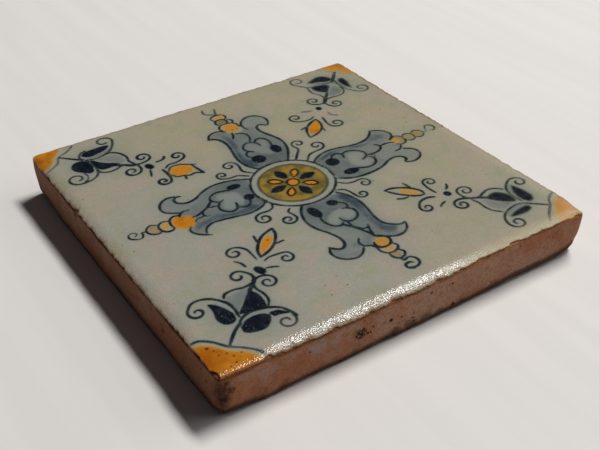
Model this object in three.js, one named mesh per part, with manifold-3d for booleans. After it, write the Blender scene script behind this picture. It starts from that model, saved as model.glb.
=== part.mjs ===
// A hand-made wall tile in tin-glazed earthenware: a thick clay slab with undercut edges, an opaque
// pale glaze coat that rolls over its top arris, and patches of fired colour painted on the glaze.
// Millimetres, +Z up. The origin is the centre of the bed face, which lies on the wall or the table.
// South is -Y and west is -X, as on a map of the tile seen from above.
import * as THREE from 'three';
import { mergeVertices } from 'three/addons/utils/BufferGeometryUtils.js';
import Module from 'manifold-3d';

const wasm = await Module();
wasm.setup();

// The slab
const TILE_WIDTH = 130;
const TILE_DEPTH = 132;
const CLAY_THICKNESS = 14.5;
const UNDERCUT = 0.5; // how far each side leans in from its top to its foot
const FOOT_ARRIS = 1; // rounding where the sides meet the bed face
const TOP_ARRIS = 0.3; // rounding where the sides meet the glazed face
const CORNER_RADIUS_SW = 1.6;
const CORNER_RADIUS_SE = 2.2;
const CORNER_RADIUS_NE = 2;
const CORNER_RADIUS_NW = 1.2;

// The glaze coat
const GLAZE_THICKNESS = 0.7;
const SHOULDER_WIDTH = 4.4; // how far in from the side the face starts to roll down
const SHOULDER_DROP = 0.4; // how far the clay falls across that shoulder
const BARE_EDGE = 0.8; // clay outside the shoulder, where the glaze was wiped off
const GLAZE_LIP = 0.35; // how far the glaze runs out over the bare edge

// The painted colours
const PAINT_THICKNESS = 0.12;
const PAINT_GAP = 0.4; // least clear glaze between two patches
const DRAWN_WIDTH = 130; // the tile that the pattern was drawn for
const DRAWN_DEPTH = 132;
const MEDALLION_RADIUS = 11.2;
const RING_RADIUS = 14.2; // to the middle of the dark line round the medallion
const LINE_WIDTH = 0.8;
const PETAL_WIDTH = 20.5;
const PETAL_LENGTH = 26;
const HORN_SPREAD = 27; // from tip to tip of the two horns that end a petal
const BEAD_RADII = [2.7, 2.2, 1.8]; // the beads that hang from a petal, largest first
const BEAD_OVERLAP = 0.9; // how far each bead runs into the one before
const FAN_REACH = 15.5; // along each side of the tile from its corner
const FAN_NOTCH = 12.3; // from the corner to where the fan's two lobes meet
const STEM_LENGTH = 10.5;
const LEAF_LENGTH = 11;
const LEAF_WIDTH = 6.4;
const LEAF_SPLAY = 60; // degrees between a side leaf and the spray's axis
const LEAF_SETBACK = 3; // from the root of the middle leaf back to that of the side leaves
const MIDDLE_LEAF_LENGTH = 15;
const MIDDLE_LEAF_WIDTH = 10.5;
const DOT_RADIUS = 1.5;
const BUD_LENGTH = 13.5;
const BUD_WIDTH = 5.2;
const SPRAY_STEP = 5.5; // clear glaze before the dot and after it

// Fineness of the round forms
const CORNER_STEPS = 6;
const ROUND_STEPS = 5;
const CURVE_STEPS = 40;
const SMALL_STEPS = 16;

const FACE_HEIGHT = CLAY_THICKNESS + GLAZE_THICKNESS;
const ROOT_RADIUS = RING_RADIUS + LINE_WIDTH / 2 + PAINT_GAP; // where the petals begin
const BEAD_START = ROOT_RADIUS + PETAL_LENGTH; // middle of the first bead
const QUARTER = Math.PI / 2;

// Corners in turn from south-west, anticlockwise, with the signs of their x and y.
const CORNERS = [
  { name: 'south_west', x: -1, y: -1, radius: CORNER_RADIUS_SW },
  { name: 'south_east', x: 1, y: -1, radius: CORNER_RADIUS_SE },
  { name: 'north_east', x: 1, y: 1, radius: CORNER_RADIUS_NE },
  { name: 'north_west', x: -1, y: 1, radius: CORNER_RADIUS_NW },
];
const SIDES = ['south', 'east', 'north', 'west'];

const CLAY = new THREE.MeshStandardMaterial({ color: 0xa8735a, roughness: 0.95, metalness: 0 });
const GLAZE = new THREE.MeshStandardMaterial({ color: 0xb9b5a2, roughness: 0.25, metalness: 0 });
const WASH_BLUE = new THREE.MeshStandardMaterial({ color: 0x7d858a, roughness: 0.25, metalness: 0 });
const DARK_BLUE = new THREE.MeshStandardMaterial({ color: 0x161b2b, roughness: 0.3, metalness: 0 });
const ORANGE = new THREE.MeshStandardMaterial({ color: 0xd98a1e, roughness: 0.25, metalness: 0 });
const YELLOW = new THREE.MeshStandardMaterial({ color: 0xa8923a, roughness: 0.25, metalness: 0 });

// One turn round the slab, anticlockwise: a rectangle with its own radius at each corner.
function outline(inset, height) {
  const points = [];
  CORNERS.forEach((corner, index) => {
    const cx = corner.x * (TILE_WIDTH / 2 - inset - corner.radius);
    const cy = corner.y * (TILE_DEPTH / 2 - inset - corner.radius);
    for (let step = 0; step <= CORNER_STEPS; step++) {
      const angle = QUARTER * (index + 2 + step / CORNER_STEPS);
      points.push([cx + corner.radius * Math.cos(angle), cy + corner.radius * Math.sin(angle), height]);
    }
  });
  return points;
}

// A closed skin through a list of turns of equal count, each end closed by a fan to its middle.
function skin(turns) {
  const count = turns[0].length;
  const positions = turns.flat(2);
  const index = [];
  for (let t = 0; t + 1 < turns.length; t++) {
    for (let i = 0; i < count; i++) {
      const a = t * count + i;
      const b = t * count + ((i + 1) % count);
      index.push(a, b, b + count, a, b + count, a + count);
    }
  }
  const first = turns[0];
  const last = turns[turns.length - 1];
  const start = positions.length / 3;
  positions.push(0, 0, first[0][2], 0, 0, last[0][2]);
  const top = (turns.length - 1) * count;
  for (let i = 0; i < count; i++) {
    const next = (i + 1) % count;
    index.push(start, next, i);
    index.push(start + 1, top + i, top + next);
  }
  const geometry = new THREE.BufferGeometry();
  geometry.setAttribute('position', new THREE.Float32BufferAttribute(positions, 3));
  geometry.setIndex(index);
  return geometry;
}

// A quarter of an ellipse as [inset, height] pairs, from its upright end to its level end.
function quarterRound(insetStart, heightStart, width, rise, steps) {
  return Array.from({ length: steps + 1 }, (_, i) => {
    const angle = (QUARTER * i) / steps;
    return [insetStart + width * (1 - Math.cos(angle)), heightStart + rise * Math.sin(angle)];
  });
}

// The shoulder that clay and glaze share, from the wiped edge up to the flat of the face.
const shoulder = quarterRound(
  BARE_EDGE, CLAY_THICKNESS - SHOULDER_DROP, SHOULDER_WIDTH - BARE_EDGE, SHOULDER_DROP, ROUND_STEPS);

function clayGeometry() {
  const foot = quarterRound(UNDERCUT, FOOT_ARRIS, FOOT_ARRIS, -FOOT_ARRIS, ROUND_STEPS).reverse();
  const ledge = CLAY_THICKNESS - SHOULDER_DROP;
  const arris = quarterRound(0, ledge - TOP_ARRIS, TOP_ARRIS, TOP_ARRIS, 2);
  const profile = [...foot, ...arris, ...shoulder];
  return skin(profile.map(([inset, height]) => outline(inset, height)));
}

function glazeGeometry() {
  const under = [...shoulder].reverse();
  const over = quarterRound(
    BARE_EDGE - GLAZE_LIP, CLAY_THICKNESS - SHOULDER_DROP,
    SHOULDER_WIDTH - BARE_EDGE + GLAZE_LIP, SHOULDER_DROP + GLAZE_THICKNESS, ROUND_STEPS + 2);
  const profile = [...under, ...over];
  return skin(profile.map(([inset, height]) => outline(inset, height)));
}

function toSolid(geometry) {
  const bare = new THREE.BufferGeometry();
  bare.setAttribute('position', geometry.getAttribute('position'));
  bare.setIndex(geometry.getIndex());
  const merged = mergeVertices(bare, 1e-4);
  return new wasm.Manifold(new wasm.Mesh({
    numProp: 3,
    vertProperties: new Float32Array(merged.attributes.position.array),
    triVerts: new Uint32Array(merged.index.array),
  }));
}

function toGeometry(solid) {
  const mesh = solid.getMesh();
  const geometry = new THREE.BufferGeometry();
  geometry.setAttribute('position', new THREE.BufferAttribute(mesh.vertProperties, 3));
  geometry.setIndex(new THREE.BufferAttribute(mesh.triVerts, 1));
  return geometry;
}

// A flat patch of colour: its outline as a plate, by default of the paint's thickness.
function plate(shape, thickness = PAINT_THICKNESS) {
  return new THREE.ExtrudeGeometry(shape, {
    depth: thickness, bevelEnabled: false, steps: 1, curveSegments: SMALL_STEPS,
  });
}

// A smooth curve through [x, y] pairs, as flat points; a closed one leaves out its repeated end.
function curvePoints(pairs, closed, steps) {
  const curve = new THREE.CatmullRomCurve3(
    pairs.map(([x, y]) => new THREE.Vector3(x, y, 0)), closed, 'centripetal');
  const points = curve.getPoints(steps).map((point) => new THREE.Vector2(point.x, point.y));
  return closed ? points.slice(0, -1) : points;
}

// A round spot in the middle of the drawing or at a distance along +Y.
function spot(radius, along = 0) {
  return new THREE.Shape().absarc(0, along, radius, 0, Math.PI * 2);
}

// Half a leaf's outline, as shares of its half width and of its length.
const LEAF_SIDE = [[0.8, 0.16], [1, 0.42], [0.55, 0.8]];

// A leaf along +Y from its root, with a pointed end, turned about the root by an angle.
function leaf(root, length, width, angle = 0) {
  const right = LEAF_SIDE.map(([across, along]) => [across * width / 2, along * length]);
  const left = right.map(([x, y]) => [-x, y]).reverse();
  const pairs = [[0, 0], ...right, [0, length], ...left];
  const centre = new THREE.Vector2(0, 0);
  const shift = new THREE.Vector2(0, root);
  const points = curvePoints(pairs, true, CURVE_STEPS);
  return new THREE.Shape(points.map((point) => point.rotateAround(centre, angle).add(shift)));
}

function joined(shapes) {
  const solids = shapes.map((shape) => toSolid(plate(shape)));
  return toGeometry(solids.reduce((whole, next) => whole.add(next)));
}

// One side of a petal: its body as shares of the petal's half width, then its horn as shares of
// half the horn spread, each with the share of the petal's length that it lies at.
const PETAL_BODY = [[0.95, 0.2], [1, 0.38], [0.82, 0.62], [0.78, 0.8]];
const PETAL_HORN = [[0.8, 0.87], [1, 0.84], [0.98, 1], [0.72, 1.12], [0.45, 1.1]];
const PETAL_FOOT = 0.72; // the foot's share of the petal's width

// Petal, drawn from the medallion's centre towards +Y: its foot follows the ring, and its two
// curled horns stand on each side of a round notch that clears the first bead.
function petalGeometry() {
  const footAngle = Math.asin((PETAL_FOOT * PETAL_WIDTH / 2) / ROOT_RADIUS);
  const notchRadius = BEAD_RADII[0] + PAINT_GAP;
  const side = (shares, spread) => shares.map(
    ([across, along]) => [across * spread / 2, ROOT_RADIUS + along * PETAL_LENGTH]);
  const notchSide = [QUARTER * 0.9, QUARTER * 0.45].map(
    (angle) => [notchRadius * Math.sin(angle), BEAD_START - notchRadius * Math.cos(angle)]);
  const right = [
    [ROOT_RADIUS * Math.sin(footAngle), ROOT_RADIUS * Math.cos(footAngle)],
    ...side(PETAL_BODY, PETAL_WIDTH), ...side(PETAL_HORN, HORN_SPREAD), ...notchSide,
  ];
  const left = right.map(([x, y]) => [-x, y]).reverse();
  const edge = curvePoints([...right, [0, BEAD_START - notchRadius], ...left], false, CURVE_STEPS * 2);
  const foot = new THREE.Path().absarc(
    0, 0, ROOT_RADIUS, QUARTER + footAngle, QUARTER - footAngle, true);
  return plate(new THREE.Shape([...edge, ...foot.getPoints(SMALL_STEPS).slice(1, -1)]));
}

// Beads in a row outwards along +Y, each run into the one before.
function beadsGeometry() {
  let along = BEAD_START;
  const beads = BEAD_RADII.map((radius, index) => {
    along += index === 0 ? 0 : BEAD_RADII[index - 1] + radius - BEAD_OVERLAP;
    return spot(radius, along);
  });
  return joined(beads);
}

// Spray, drawn with +Y from the tile's corner towards its middle.
const STEM_START = FAN_NOTCH + PAINT_GAP * 2;
const LEAF_ROOT = STEM_START + STEM_LENGTH;
const DOT_PLACE = LEAF_ROOT + MIDDLE_LEAF_LENGTH + SPRAY_STEP + DOT_RADIUS;
const BUD_ROOT = DOT_PLACE + DOT_RADIUS + SPRAY_STEP;

function leavesGeometry() {
  const splay = THREE.MathUtils.degToRad(LEAF_SPLAY);
  const half = LINE_WIDTH / 2;
  const stemEnd = LEAF_ROOT + LINE_WIDTH; // inside the middle leaf
  const stem = [[-half, STEM_START], [half, STEM_START], [half, stemEnd], [-half, stemEnd]];
  return joined([
    new THREE.Shape(stem.map(([x, y]) => new THREE.Vector2(x, y))),
    leaf(LEAF_ROOT, MIDDLE_LEAF_LENGTH, MIDDLE_LEAF_WIDTH),
    leaf(LEAF_ROOT - LEAF_SETBACK, LEAF_LENGTH, LEAF_WIDTH, splay),
    leaf(LEAF_ROOT - LEAF_SETBACK, LEAF_LENGTH, LEAF_WIDTH, -splay),
  ]);
}

// The fan of colour in a corner follows the rolled edge: it is the glaze coat raised by the
// paint's thickness, less the glaze coat itself, inside an outline with two lobes.
function fanGeometry(corner, glaze) {
  const outside = SHOULDER_WIDTH; // any distance that clears the tile's sides
  const start = SHOULDER_WIDTH / 2;
  const notch = FAN_NOTCH / Math.SQRT2;
  const far = FAN_REACH * 0.84;
  const near = FAN_REACH * 0.52;
  const lobes = new THREE.Shape().moveTo(-outside, -outside).lineTo(FAN_REACH, -outside)
    .lineTo(FAN_REACH, start).quadraticCurveTo(far, near, notch, notch)
    .quadraticCurveTo(near, far, start, FAN_REACH).lineTo(-outside, FAN_REACH);
  const shape = new THREE.Shape(lobes.getPoints(SMALL_STEPS).map((point) => new THREE.Vector2(
    corner.x * (TILE_WIDTH / 2 - point.x), corner.y * (TILE_DEPTH / 2 - point.y))));
  const prism = toSolid(plate(shape, FACE_HEIGHT * 2));
  return toGeometry(glaze.translate(0, 0, PAINT_THICKNESS).subtract(glaze).intersect(prism));
}

function ringGeometry() {
  const ring = spot(RING_RADIUS + LINE_WIDTH / 2);
  ring.holes.push(new THREE.Path().absarc(0, 0, RING_RADIUS - LINE_WIDTH / 2, 0, Math.PI * 2, true));
  return plate(ring);
}

const tile = new THREE.Group();

function add(name, geometry, material, parent = tile) {
  const mesh = new THREE.Mesh(geometry, material);
  mesh.name = name;
  parent.add(mesh);
  return mesh;
}

// The pattern is stretched with the tile, so that it always fills the face.
const pattern = new THREE.Group();
pattern.position.z = FACE_HEIGHT;
const stretchX = TILE_WIDTH / DRAWN_WIDTH;
const stretchY = TILE_DEPTH / DRAWN_DEPTH;
pattern.scale.set(stretchX, stretchY, 1);

function addMedallion() {
  const radius = Math.min(MEDALLION_RADIUS, RING_RADIUS - LINE_WIDTH / 2 - PAINT_GAP);
  add('medallion_field', plate(spot(radius)), YELLOW, pattern);
  add('medallion_ring', ringGeometry(), DARK_BLUE, pattern);
}

function addArms() {
  SIDES.forEach((side, index) => {
    const arm = new THREE.Group();
    arm.rotation.z = QUARTER * (index + 2);
    pattern.add(arm);
    add(`petal_${side}`, petalGeometry(), WASH_BLUE, arm);
    add(`beads_${side}`, beadsGeometry(), ORANGE, arm);
  });
}

function addSprays(glaze) {
  for (const corner of CORNERS) {
    const spray = new THREE.Group();
    spray.position.set(corner.x * DRAWN_WIDTH / 2, corner.y * DRAWN_DEPTH / 2, 0);
    spray.rotation.z = Math.atan2(-corner.y * DRAWN_DEPTH, -corner.x * DRAWN_WIDTH) - QUARTER;
    pattern.add(spray);
    add(`leaves_${corner.name}`, leavesGeometry(), DARK_BLUE, spray);
    add(`dot_${corner.name}`, plate(spot(DOT_RADIUS, DOT_PLACE)), DARK_BLUE, spray);
    add(`bud_${corner.name}`, plate(leaf(BUD_ROOT, BUD_LENGTH, BUD_WIDTH)), ORANGE, spray);
    add(`fan_${corner.name}`, fanGeometry(corner, glaze), ORANGE);
  }
}

add('clay_body', clayGeometry(), CLAY);
const glazeMesh = add('glaze_coat', glazeGeometry(), GLAZE);
addMedallion();
addArms();
addSprays(toSolid(glazeMesh.geometry));
tile.add(pattern);

export default tile;
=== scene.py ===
"""Looks of a painted tin-glazed tile: terracotta slab, pale glaze, and colours fired into the glaze.

The ornament is listed in millimetres on the tile's face, with the origin at the middle of the face,
+X east and +Y north. Each painted mark says where its pigment lies. Every vertex of the painted
pieces takes its amounts of ink, wash, ochre and olive from all the marks near it, so that pieces
which overlap agree in colour.
"""

import math

import bpy
import numpy as np
from mathutils import Matrix, Vector, geometry, noise


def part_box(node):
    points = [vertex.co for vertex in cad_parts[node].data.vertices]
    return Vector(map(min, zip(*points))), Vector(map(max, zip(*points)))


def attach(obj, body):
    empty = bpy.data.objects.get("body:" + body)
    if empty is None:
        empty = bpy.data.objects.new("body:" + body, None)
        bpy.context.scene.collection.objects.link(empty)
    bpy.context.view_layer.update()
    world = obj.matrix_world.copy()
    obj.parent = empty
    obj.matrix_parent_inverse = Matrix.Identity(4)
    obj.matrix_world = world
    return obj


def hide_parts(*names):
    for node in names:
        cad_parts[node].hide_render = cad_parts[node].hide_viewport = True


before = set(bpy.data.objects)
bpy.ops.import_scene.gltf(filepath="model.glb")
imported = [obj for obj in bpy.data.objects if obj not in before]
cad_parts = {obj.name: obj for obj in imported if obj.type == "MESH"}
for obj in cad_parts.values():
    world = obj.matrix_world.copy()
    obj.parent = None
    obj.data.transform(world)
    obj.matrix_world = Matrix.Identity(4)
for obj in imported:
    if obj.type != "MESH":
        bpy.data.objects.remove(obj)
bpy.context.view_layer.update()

MM = 0.001
BODY = "root"


# Sizes taken from the frame, in millimetres

def box_top(node):
    """The upper corner of a CAD node's box."""
    return [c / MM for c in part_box(node)[1]]


HALF_X, HALF_Y, CLAY_TOP = box_top("clay_body")
FACE = box_top("glaze_coat")[2]

# The slab, in millimetres: its foot's radius, its corners, and how far each side leans in
FOOT_ARRIS = 1.0
CORNER_RADII = {"south_west": 1.2, "south_east": 1.3, "north_east": 1.6, "north_west": 1.0}
CORNER_SIGNS = {
    "south_west": (-1, -1), "south_east": (1, -1), "north_east": (1, 1), "north_west": (-1, 1),
}
UNDERCUTS = {"south": 0.3, "west": 0.05, "north": 0.3, "east": 0.3}

# The rolled edge: its width, how far in the clay's face and the glaze's lip end, and how it bends
SHOULDER = 4.6
BARE_EDGE = 0.8
LIP = 0.4
ROLL = 2.0
# How far it drops and how burnt it is on each side, and how far from a corner the sides blend
EDGE_DROPS = {"south": 1.15, "west": 0.75, "north": 0.1, "east": 0.05}
EDGE_BURNS = {"south": 0.74, "west": 0.58, "north": 0.7, "east": 0.85}
CORNER_BLEND = 3.0
# Along the south side it grows flatter between these places, until this share of its drop is gone
FLATTER_FROM = 2.0
FLATTER_TO = 32.0
FLATTER_SHARE = 0.68
# At the south-west corner it drops less and is narrower, which fades between these distances
FAN_CORNER_FROM = 12.0
FAN_CORNER_TO = 22.0
FAN_CORNER_SHARE = 0.72
FAN_CORNER_NARROWER = 1.6
# At the south-east corner it is worn down, which fades in the same way
WORN_DROP = 0.8
WORN_FROM = 1.5
WORN_TO = 9
# How far the face lies under the CAD's, and how much less the clay's edge drops than the glaze's
FACE_CLEARANCE = 0.04
LESS_DROP = 0.25
LEAST_DROP = 0.1

# The paint, in millimetres: how far off the slab's middle the pattern was drawn, and the steps
# between points along curves and inside filled shapes
PATTERN_SHIFT = (-0.27, -0.97)
STEP = 0.55
FILL_STEP = 1.15
# Brush lines: the usual width, a factor on all widths, how much the width and the ink waver, how
# quickly in a millimetre, and the length and width of the thinner ends
LINE = 0.78
BRUSH = 0.97
UNEVEN = 0.22
PALER = 0.18
WAVER_RATE = 0.35
WAVER_LAYER = 7.3
END_LENGTH = 1.5
END_WIDTH = 0.72
END_GROWTH = 0.28
# A scroll: points in each turn, and how soon it tightens
SCROLL_POINTS = 9
SCROLL_BEND = 0.85
# How far a mark's colour fades inward and outward from its edge, how far inward that of filled
# shapes fades, and how far the blue haze reaches
SOFT_IN = 0.14
SOFT_OUT = 0.32
SOFT_WASH = (0.8, 0.35)
SOFT_CLEARING = (0.9, 0.5)
FILL_FADES = {"ink": 0.22, "ochre": 0.45, "olive": 0.3}
HAZE_REACH = 1.1
# Washes thin out between these distances from the medallion's middle, down to this share
WASH_FULL_TO = 16
WASH_THIN_FROM = 32
WASH_FAR = 0.64
# The faint blue cast round the painting: half the grid's width, blur, gain, and a wash's share
GRID_HALF = 72
CAST_BLUR = 2.5
CAST_GAIN = 1.45
WASH_CAST = 0.55

# The painted skins: how far they reach past the marks, lie over the glaze and dip under it, and how
# thick they are
MARGIN = 0.85
LIFT = 0.03
SINK = 0.03
SKIN_DEPTH = 0.12
# Their points: the least spacing, rows along the glaze's edge, and where the other points start
CLOSEST = 0.17
RIM_ROWS = (0.1, 0.35, 0.8, 1.4, 2.1, 2.9)
POINTS_FROM = 0.3
# Their triangles: the longest side, and how near their middles come to the skin's and glaze's edges
LONGEST_SIDE = 2.6
MARGIN_SHARE = 0.97
MIDDLES_FROM = 0.1


# Curves

def between(t, t0, t1, p0, p1):
    """The place at time t on the straight way from p0 at t0 to p1 at t1."""
    return (t1 - t) / (t1 - t0) * p0 + (t - t0) / (t1 - t0) * p1


def smooth(points, closed=False):
    """Centripetal Catmull-Rom curve through the points, moved with the pattern."""
    pts = [np.array(p, float) + PATTERN_SHIFT for p in points]
    if closed:
        pts = [pts[-1]] + pts + pts[:2]
    else:
        pts = [2 * pts[0] - pts[1]] + pts + [2 * pts[-1] - pts[-2]]
    out = []
    for p0, p1, p2, p3 in zip(pts, pts[1:], pts[2:], pts[3:]):
        t1 = math.dist(p0, p1) ** 0.5
        t2 = t1 + math.dist(p1, p2) ** 0.5
        t3 = t2 + math.dist(p2, p3) ** 0.5
        count = max(1, round(math.dist(p1, p2) / STEP))
        for k in range(count):
            t = t1 + (t2 - t1) * k / count
            a1 = between(t, 0, t1, p0, p1)
            a2 = between(t, t1, t2, p1, p2)
            a3 = between(t, t2, t3, p2, p3)
            b1 = between(t, 0, t2, a1, a2)
            b2 = between(t, t1, t3, a2, a3)
            out.append(between(t, t1, t2, b1, b2))
    if not closed:
        out.append(pts[-2])
    return np.array(out)


def line(points, width=LINE, ink=0.9):
    """A brush line: thinner at its ends, and slightly uneven along its length."""
    path = smooth(points)
    count = len(path)
    along = np.linspace(0, 1, count)
    ends = np.clip(np.minimum(along, 1 - along) * count * STEP / END_LENGTH, 0, 1)
    waver = np.array([noise.noise(Vector((x * WAVER_RATE, y * WAVER_RATE, WAVER_LAYER))) for x, y in path])
    half = width * BRUSH / 2 * (END_WIDTH + END_GROWTH * ends) * (1 + UNEVEN * waver)
    strength = ink * (1 - PALER * np.clip(0.5 - waver, 0, 1))
    soft = (SOFT_IN, SOFT_OUT)
    return {"kind": "line", "pigment": "ink", "path": path, "half": half, "strength": strength, "soft": soft}


def scroll(stem, centre, hand, turns=1.1, tight=0.22, width=LINE, ink=0.9):
    """A line that runs along its stem and curls in round a centre; hand 1 is anticlockwise."""
    end_x, end_y = stem[-1]
    x, y = centre
    radius = math.dist(stem[-1], centre)
    start = math.atan2(end_y - y, end_x - x)
    count = math.ceil(turns * SCROLL_POINTS)
    points = list(stem)
    for k in range(1, count + 1):
        share = k / count
        r = radius * (1 - (1 - tight) * share ** SCROLL_BEND)
        angle = start + hand * 2 * math.pi * turns * share
        points.append((x + r * math.cos(angle), y + r * math.sin(angle)))
    return line(points, width, ink)


def blob(points, pigment="ink", strength=1.0, fade=None):
    """A filled shape with a smooth outline; fade is how far in, in millimetres, its colour grows to full."""
    if pigment == "wash":
        soft = SOFT_WASH
    elif pigment == "glaze":
        soft = SOFT_CLEARING
    else:
        fade = fade or FILL_FADES[pigment]
        soft = (fade, min(fade + 0.2, 0.75))
    path = smooth(points, closed=True)
    return {"kind": "fill", "pigment": pigment, "path": path, "strength": strength, "soft": soft}


def oval(x, y, half_width, half_height, turn=0, pigment="ink", strength=1.0):
    """A filled oval, turned anticlockwise by some degrees."""
    c = math.cos(math.radians(turn))
    s = math.sin(math.radians(turn))
    points = []
    for k in range(10):
        a = 2 * math.pi * k / 10
        u = half_width * math.cos(a)
        v = half_height * math.sin(a)
        points.append((x + u * c - v * s, y + u * s + v * c))
    return blob(points, pigment, strength)


def circle_line(x, y, radius, width=LINE, ink=0.9):
    """A brush line round a circle."""
    turns = [math.radians(a) for a in range(0, 361, 20)]
    return line([(x + radius * math.cos(a), y + radius * math.sin(a)) for a in turns], width, ink)


# The medallion: an olive field with a plain eight-petalled rosette, and the line round its rim

MEDALLION = (0.2, 0.7)
FIELD_RADIUS = 11.3
RIM_RADIUS = 14.0
HEART_RADIUS = 1.9
HEART_LINE_RADIUS = 2.1
ROSETTE_TURN = 8
# Long dark petals and short ochre ones: how far out they reach, and half their width
LONG_PETAL = (9.3, 1.75)
SHORT_PETAL = (8.3, 1.3)


def rosette_petal(angle, reach, wide):
    """The outline of one petal, from the heart outward and back."""
    middle = np.array(MEDALLION)
    along = np.array([math.cos(angle), math.sin(angle)])
    across = np.array([-along[1], along[0]])
    spine = [(3.0, 0.0), (4.6, wide * 0.75), (6.6, wide), (reach, 0.0), (6.6, -wide), (4.6, -wide * 0.75)]
    return [tuple(middle + along * u + across * v) for u, v in spine]


def rosette():
    """Marks of the medallion's field, heart and petals."""
    x, y = MEDALLION
    marks = [
        oval(x, y, FIELD_RADIUS, FIELD_RADIUS, pigment="olive", strength=0.95),
        circle_line(x, y, FIELD_RADIUS, width=0.95, ink=0.66),
        oval(x, y, HEART_RADIUS, HEART_RADIUS, pigment="ochre", strength=0.9),
        circle_line(x, y, HEART_LINE_RADIUS, width=0.9),
    ]
    for k in range(8):
        angle = math.pi / 4 * k + math.radians(ROSETTE_TURN)
        if k % 2 == 0:
            marks.append(blob(rosette_petal(angle, *LONG_PETAL)))
        else:
            outline = rosette_petal(angle, *SHORT_PETAL)
            marks.append(blob(outline, "ochre", 0.85))
            marks.append(line(outline + outline[:1], width=0.75))
    return marks


# Petals: wash, clearings in it, outline, dark eyes, and the lobed lines and spine inside

PETAL_SOUTH = [
    blob([(-5.6, -13.2), (-8.4, -17.5), (-9, -22), (-7.9, -27), (-6, -31.5), (-5.3, -35), (-6.3, -37.6),
        (-8.6, -38.3), (-10.8, -36.2), (-11.9, -39), (-11, -42), (-8.6, -44), (-6, -44.4), (-3.5, -43),
        (-2.2, -41), (0, -42.5), (2, -40.2), (4.7, -39.2), (7.2, -41.2), (10.5, -42.4), (13.6, -41.3),
        (15.8, -38.6), (12.8, -37.4), (10.7, -35), (10, -31), (10.4, -26.5), (11.3, -22), (11, -17.5),
        (9.2, -13.2), (6, -13), (0, -13.6)], "wash", 0.75),
    blob([(9.4, -14), (11, -17.5), (11.3, -22), (10.4, -26.5), (10, -31), (10.4, -34.5), (8, -36), (7, -31),
        (7.9, -26), (8.2, -21), (7.2, -15)], "wash", 1.35),
    blob([(-7.8, -27), (-6, -31), (-5.2, -35), (-6, -37.8), (-3, -38.4), (0.6, -37.4), (2, -34), (0, -30.8),
        (-2.4, -29.2)], "wash", 0.42),
    blob([(7.2, -36), (8.8, -34.5), (10.7, -36.5), (13, -38.6), (11.8, -40.2), (9, -40), (7.4, -38.2)],
        "wash", 1.45),
    blob([(-9.9, -39.5), (-8.2, -41.2), (-5.8, -41.8), (-2.6, -41.8), (-4.4, -39.6), (-5, -37.8),
        (-6.6, -39.2), (-8.4, -39.8)], "wash", 0.34),
    blob([(12.4, -38.3), (14.4, -38.4), (15.9, -38.4), (14.2, -40.9), (12, -42), (11, -41), (11.6, -39.6)],
        "wash", 0.16),
    blob([(-2.6, -23), (-3.4, -26), (-1.6, -27.6), (0.4, -25.8), (1.6, -24.5), (2.4, -26.6), (5, -27),
        (6.8, -24.5), (5.6, -22), (4, -20.6), (0.5, -21)], "glaze", 0.9),
    line([(-5.2, -12.6), (-7.7, -16.3), (-9, -21.3), (-8.4, -25.5), (-6.5, -29.8), (-5.4, -33.8), (-6, -37),
        (-7.8, -38.3), (-9.6, -37.4), (-10.8, -35.8)], width=0.92),
    line([(-10.8, -36), (-12, -38.6), (-11.4, -41.5), (-9.2, -43.7), (-6.3, -44.4), (-3.8, -43.2),
        (-2.1, -41)]),
    line([(8.2, -12.2), (10.3, -15.8), (11.3, -20.5), (10.9, -25.5), (10, -30), (10, -34), (11.7, -36.6),
        (14, -38.1), (16, -38)], width=0.92),
    line([(16, -38.1), (14.6, -40.6), (12.2, -42.2), (9.4, -42.3), (7, -41), (4.6, -38.7)]),
    oval(-3.9, -18, 1.75, 3.2, 4),
    oval(3.7, -16.6, 1.9, 1.6, -25),
    line([(-3.2, -20.4), (-4.4, -22.5), (-4.2, -25.3), (-2.8, -27.8), (-0.9, -28.4), (0.3, -27.6)],
        width=0.85),
    line([(5.6, -17.6), (6.9, -19.3), (6.2, -21.3), (4.4, -21.2)], width=0.85),
    line([(5.4, -21.4), (7.1, -23.2), (6.8, -25.9), (5.1, -27.7), (2.7, -28.2), (1.1, -26.9), (0.6, -24.9)],
        width=0.85),
    line([(-0.4, -28.4), (0.9, -30.6), (2.2, -33.2), (3.4, -36), (3.9, -38.8)], width=0.95),
    line([(1.4, -28), (1.8, -31), (3.2, -33.4), (4.6, -33.9), (5.8, -32.6)], width=0.7),
    line([(5.6, -33), (4.6, -35.3), (4.1, -37.8)], width=0.75),
    line([(-0.8, -36.9), (-2.1, -38.8), (-1.7, -40.9), (0.1, -42.1), (0.7, -43.7)], width=0.8),
]

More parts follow.
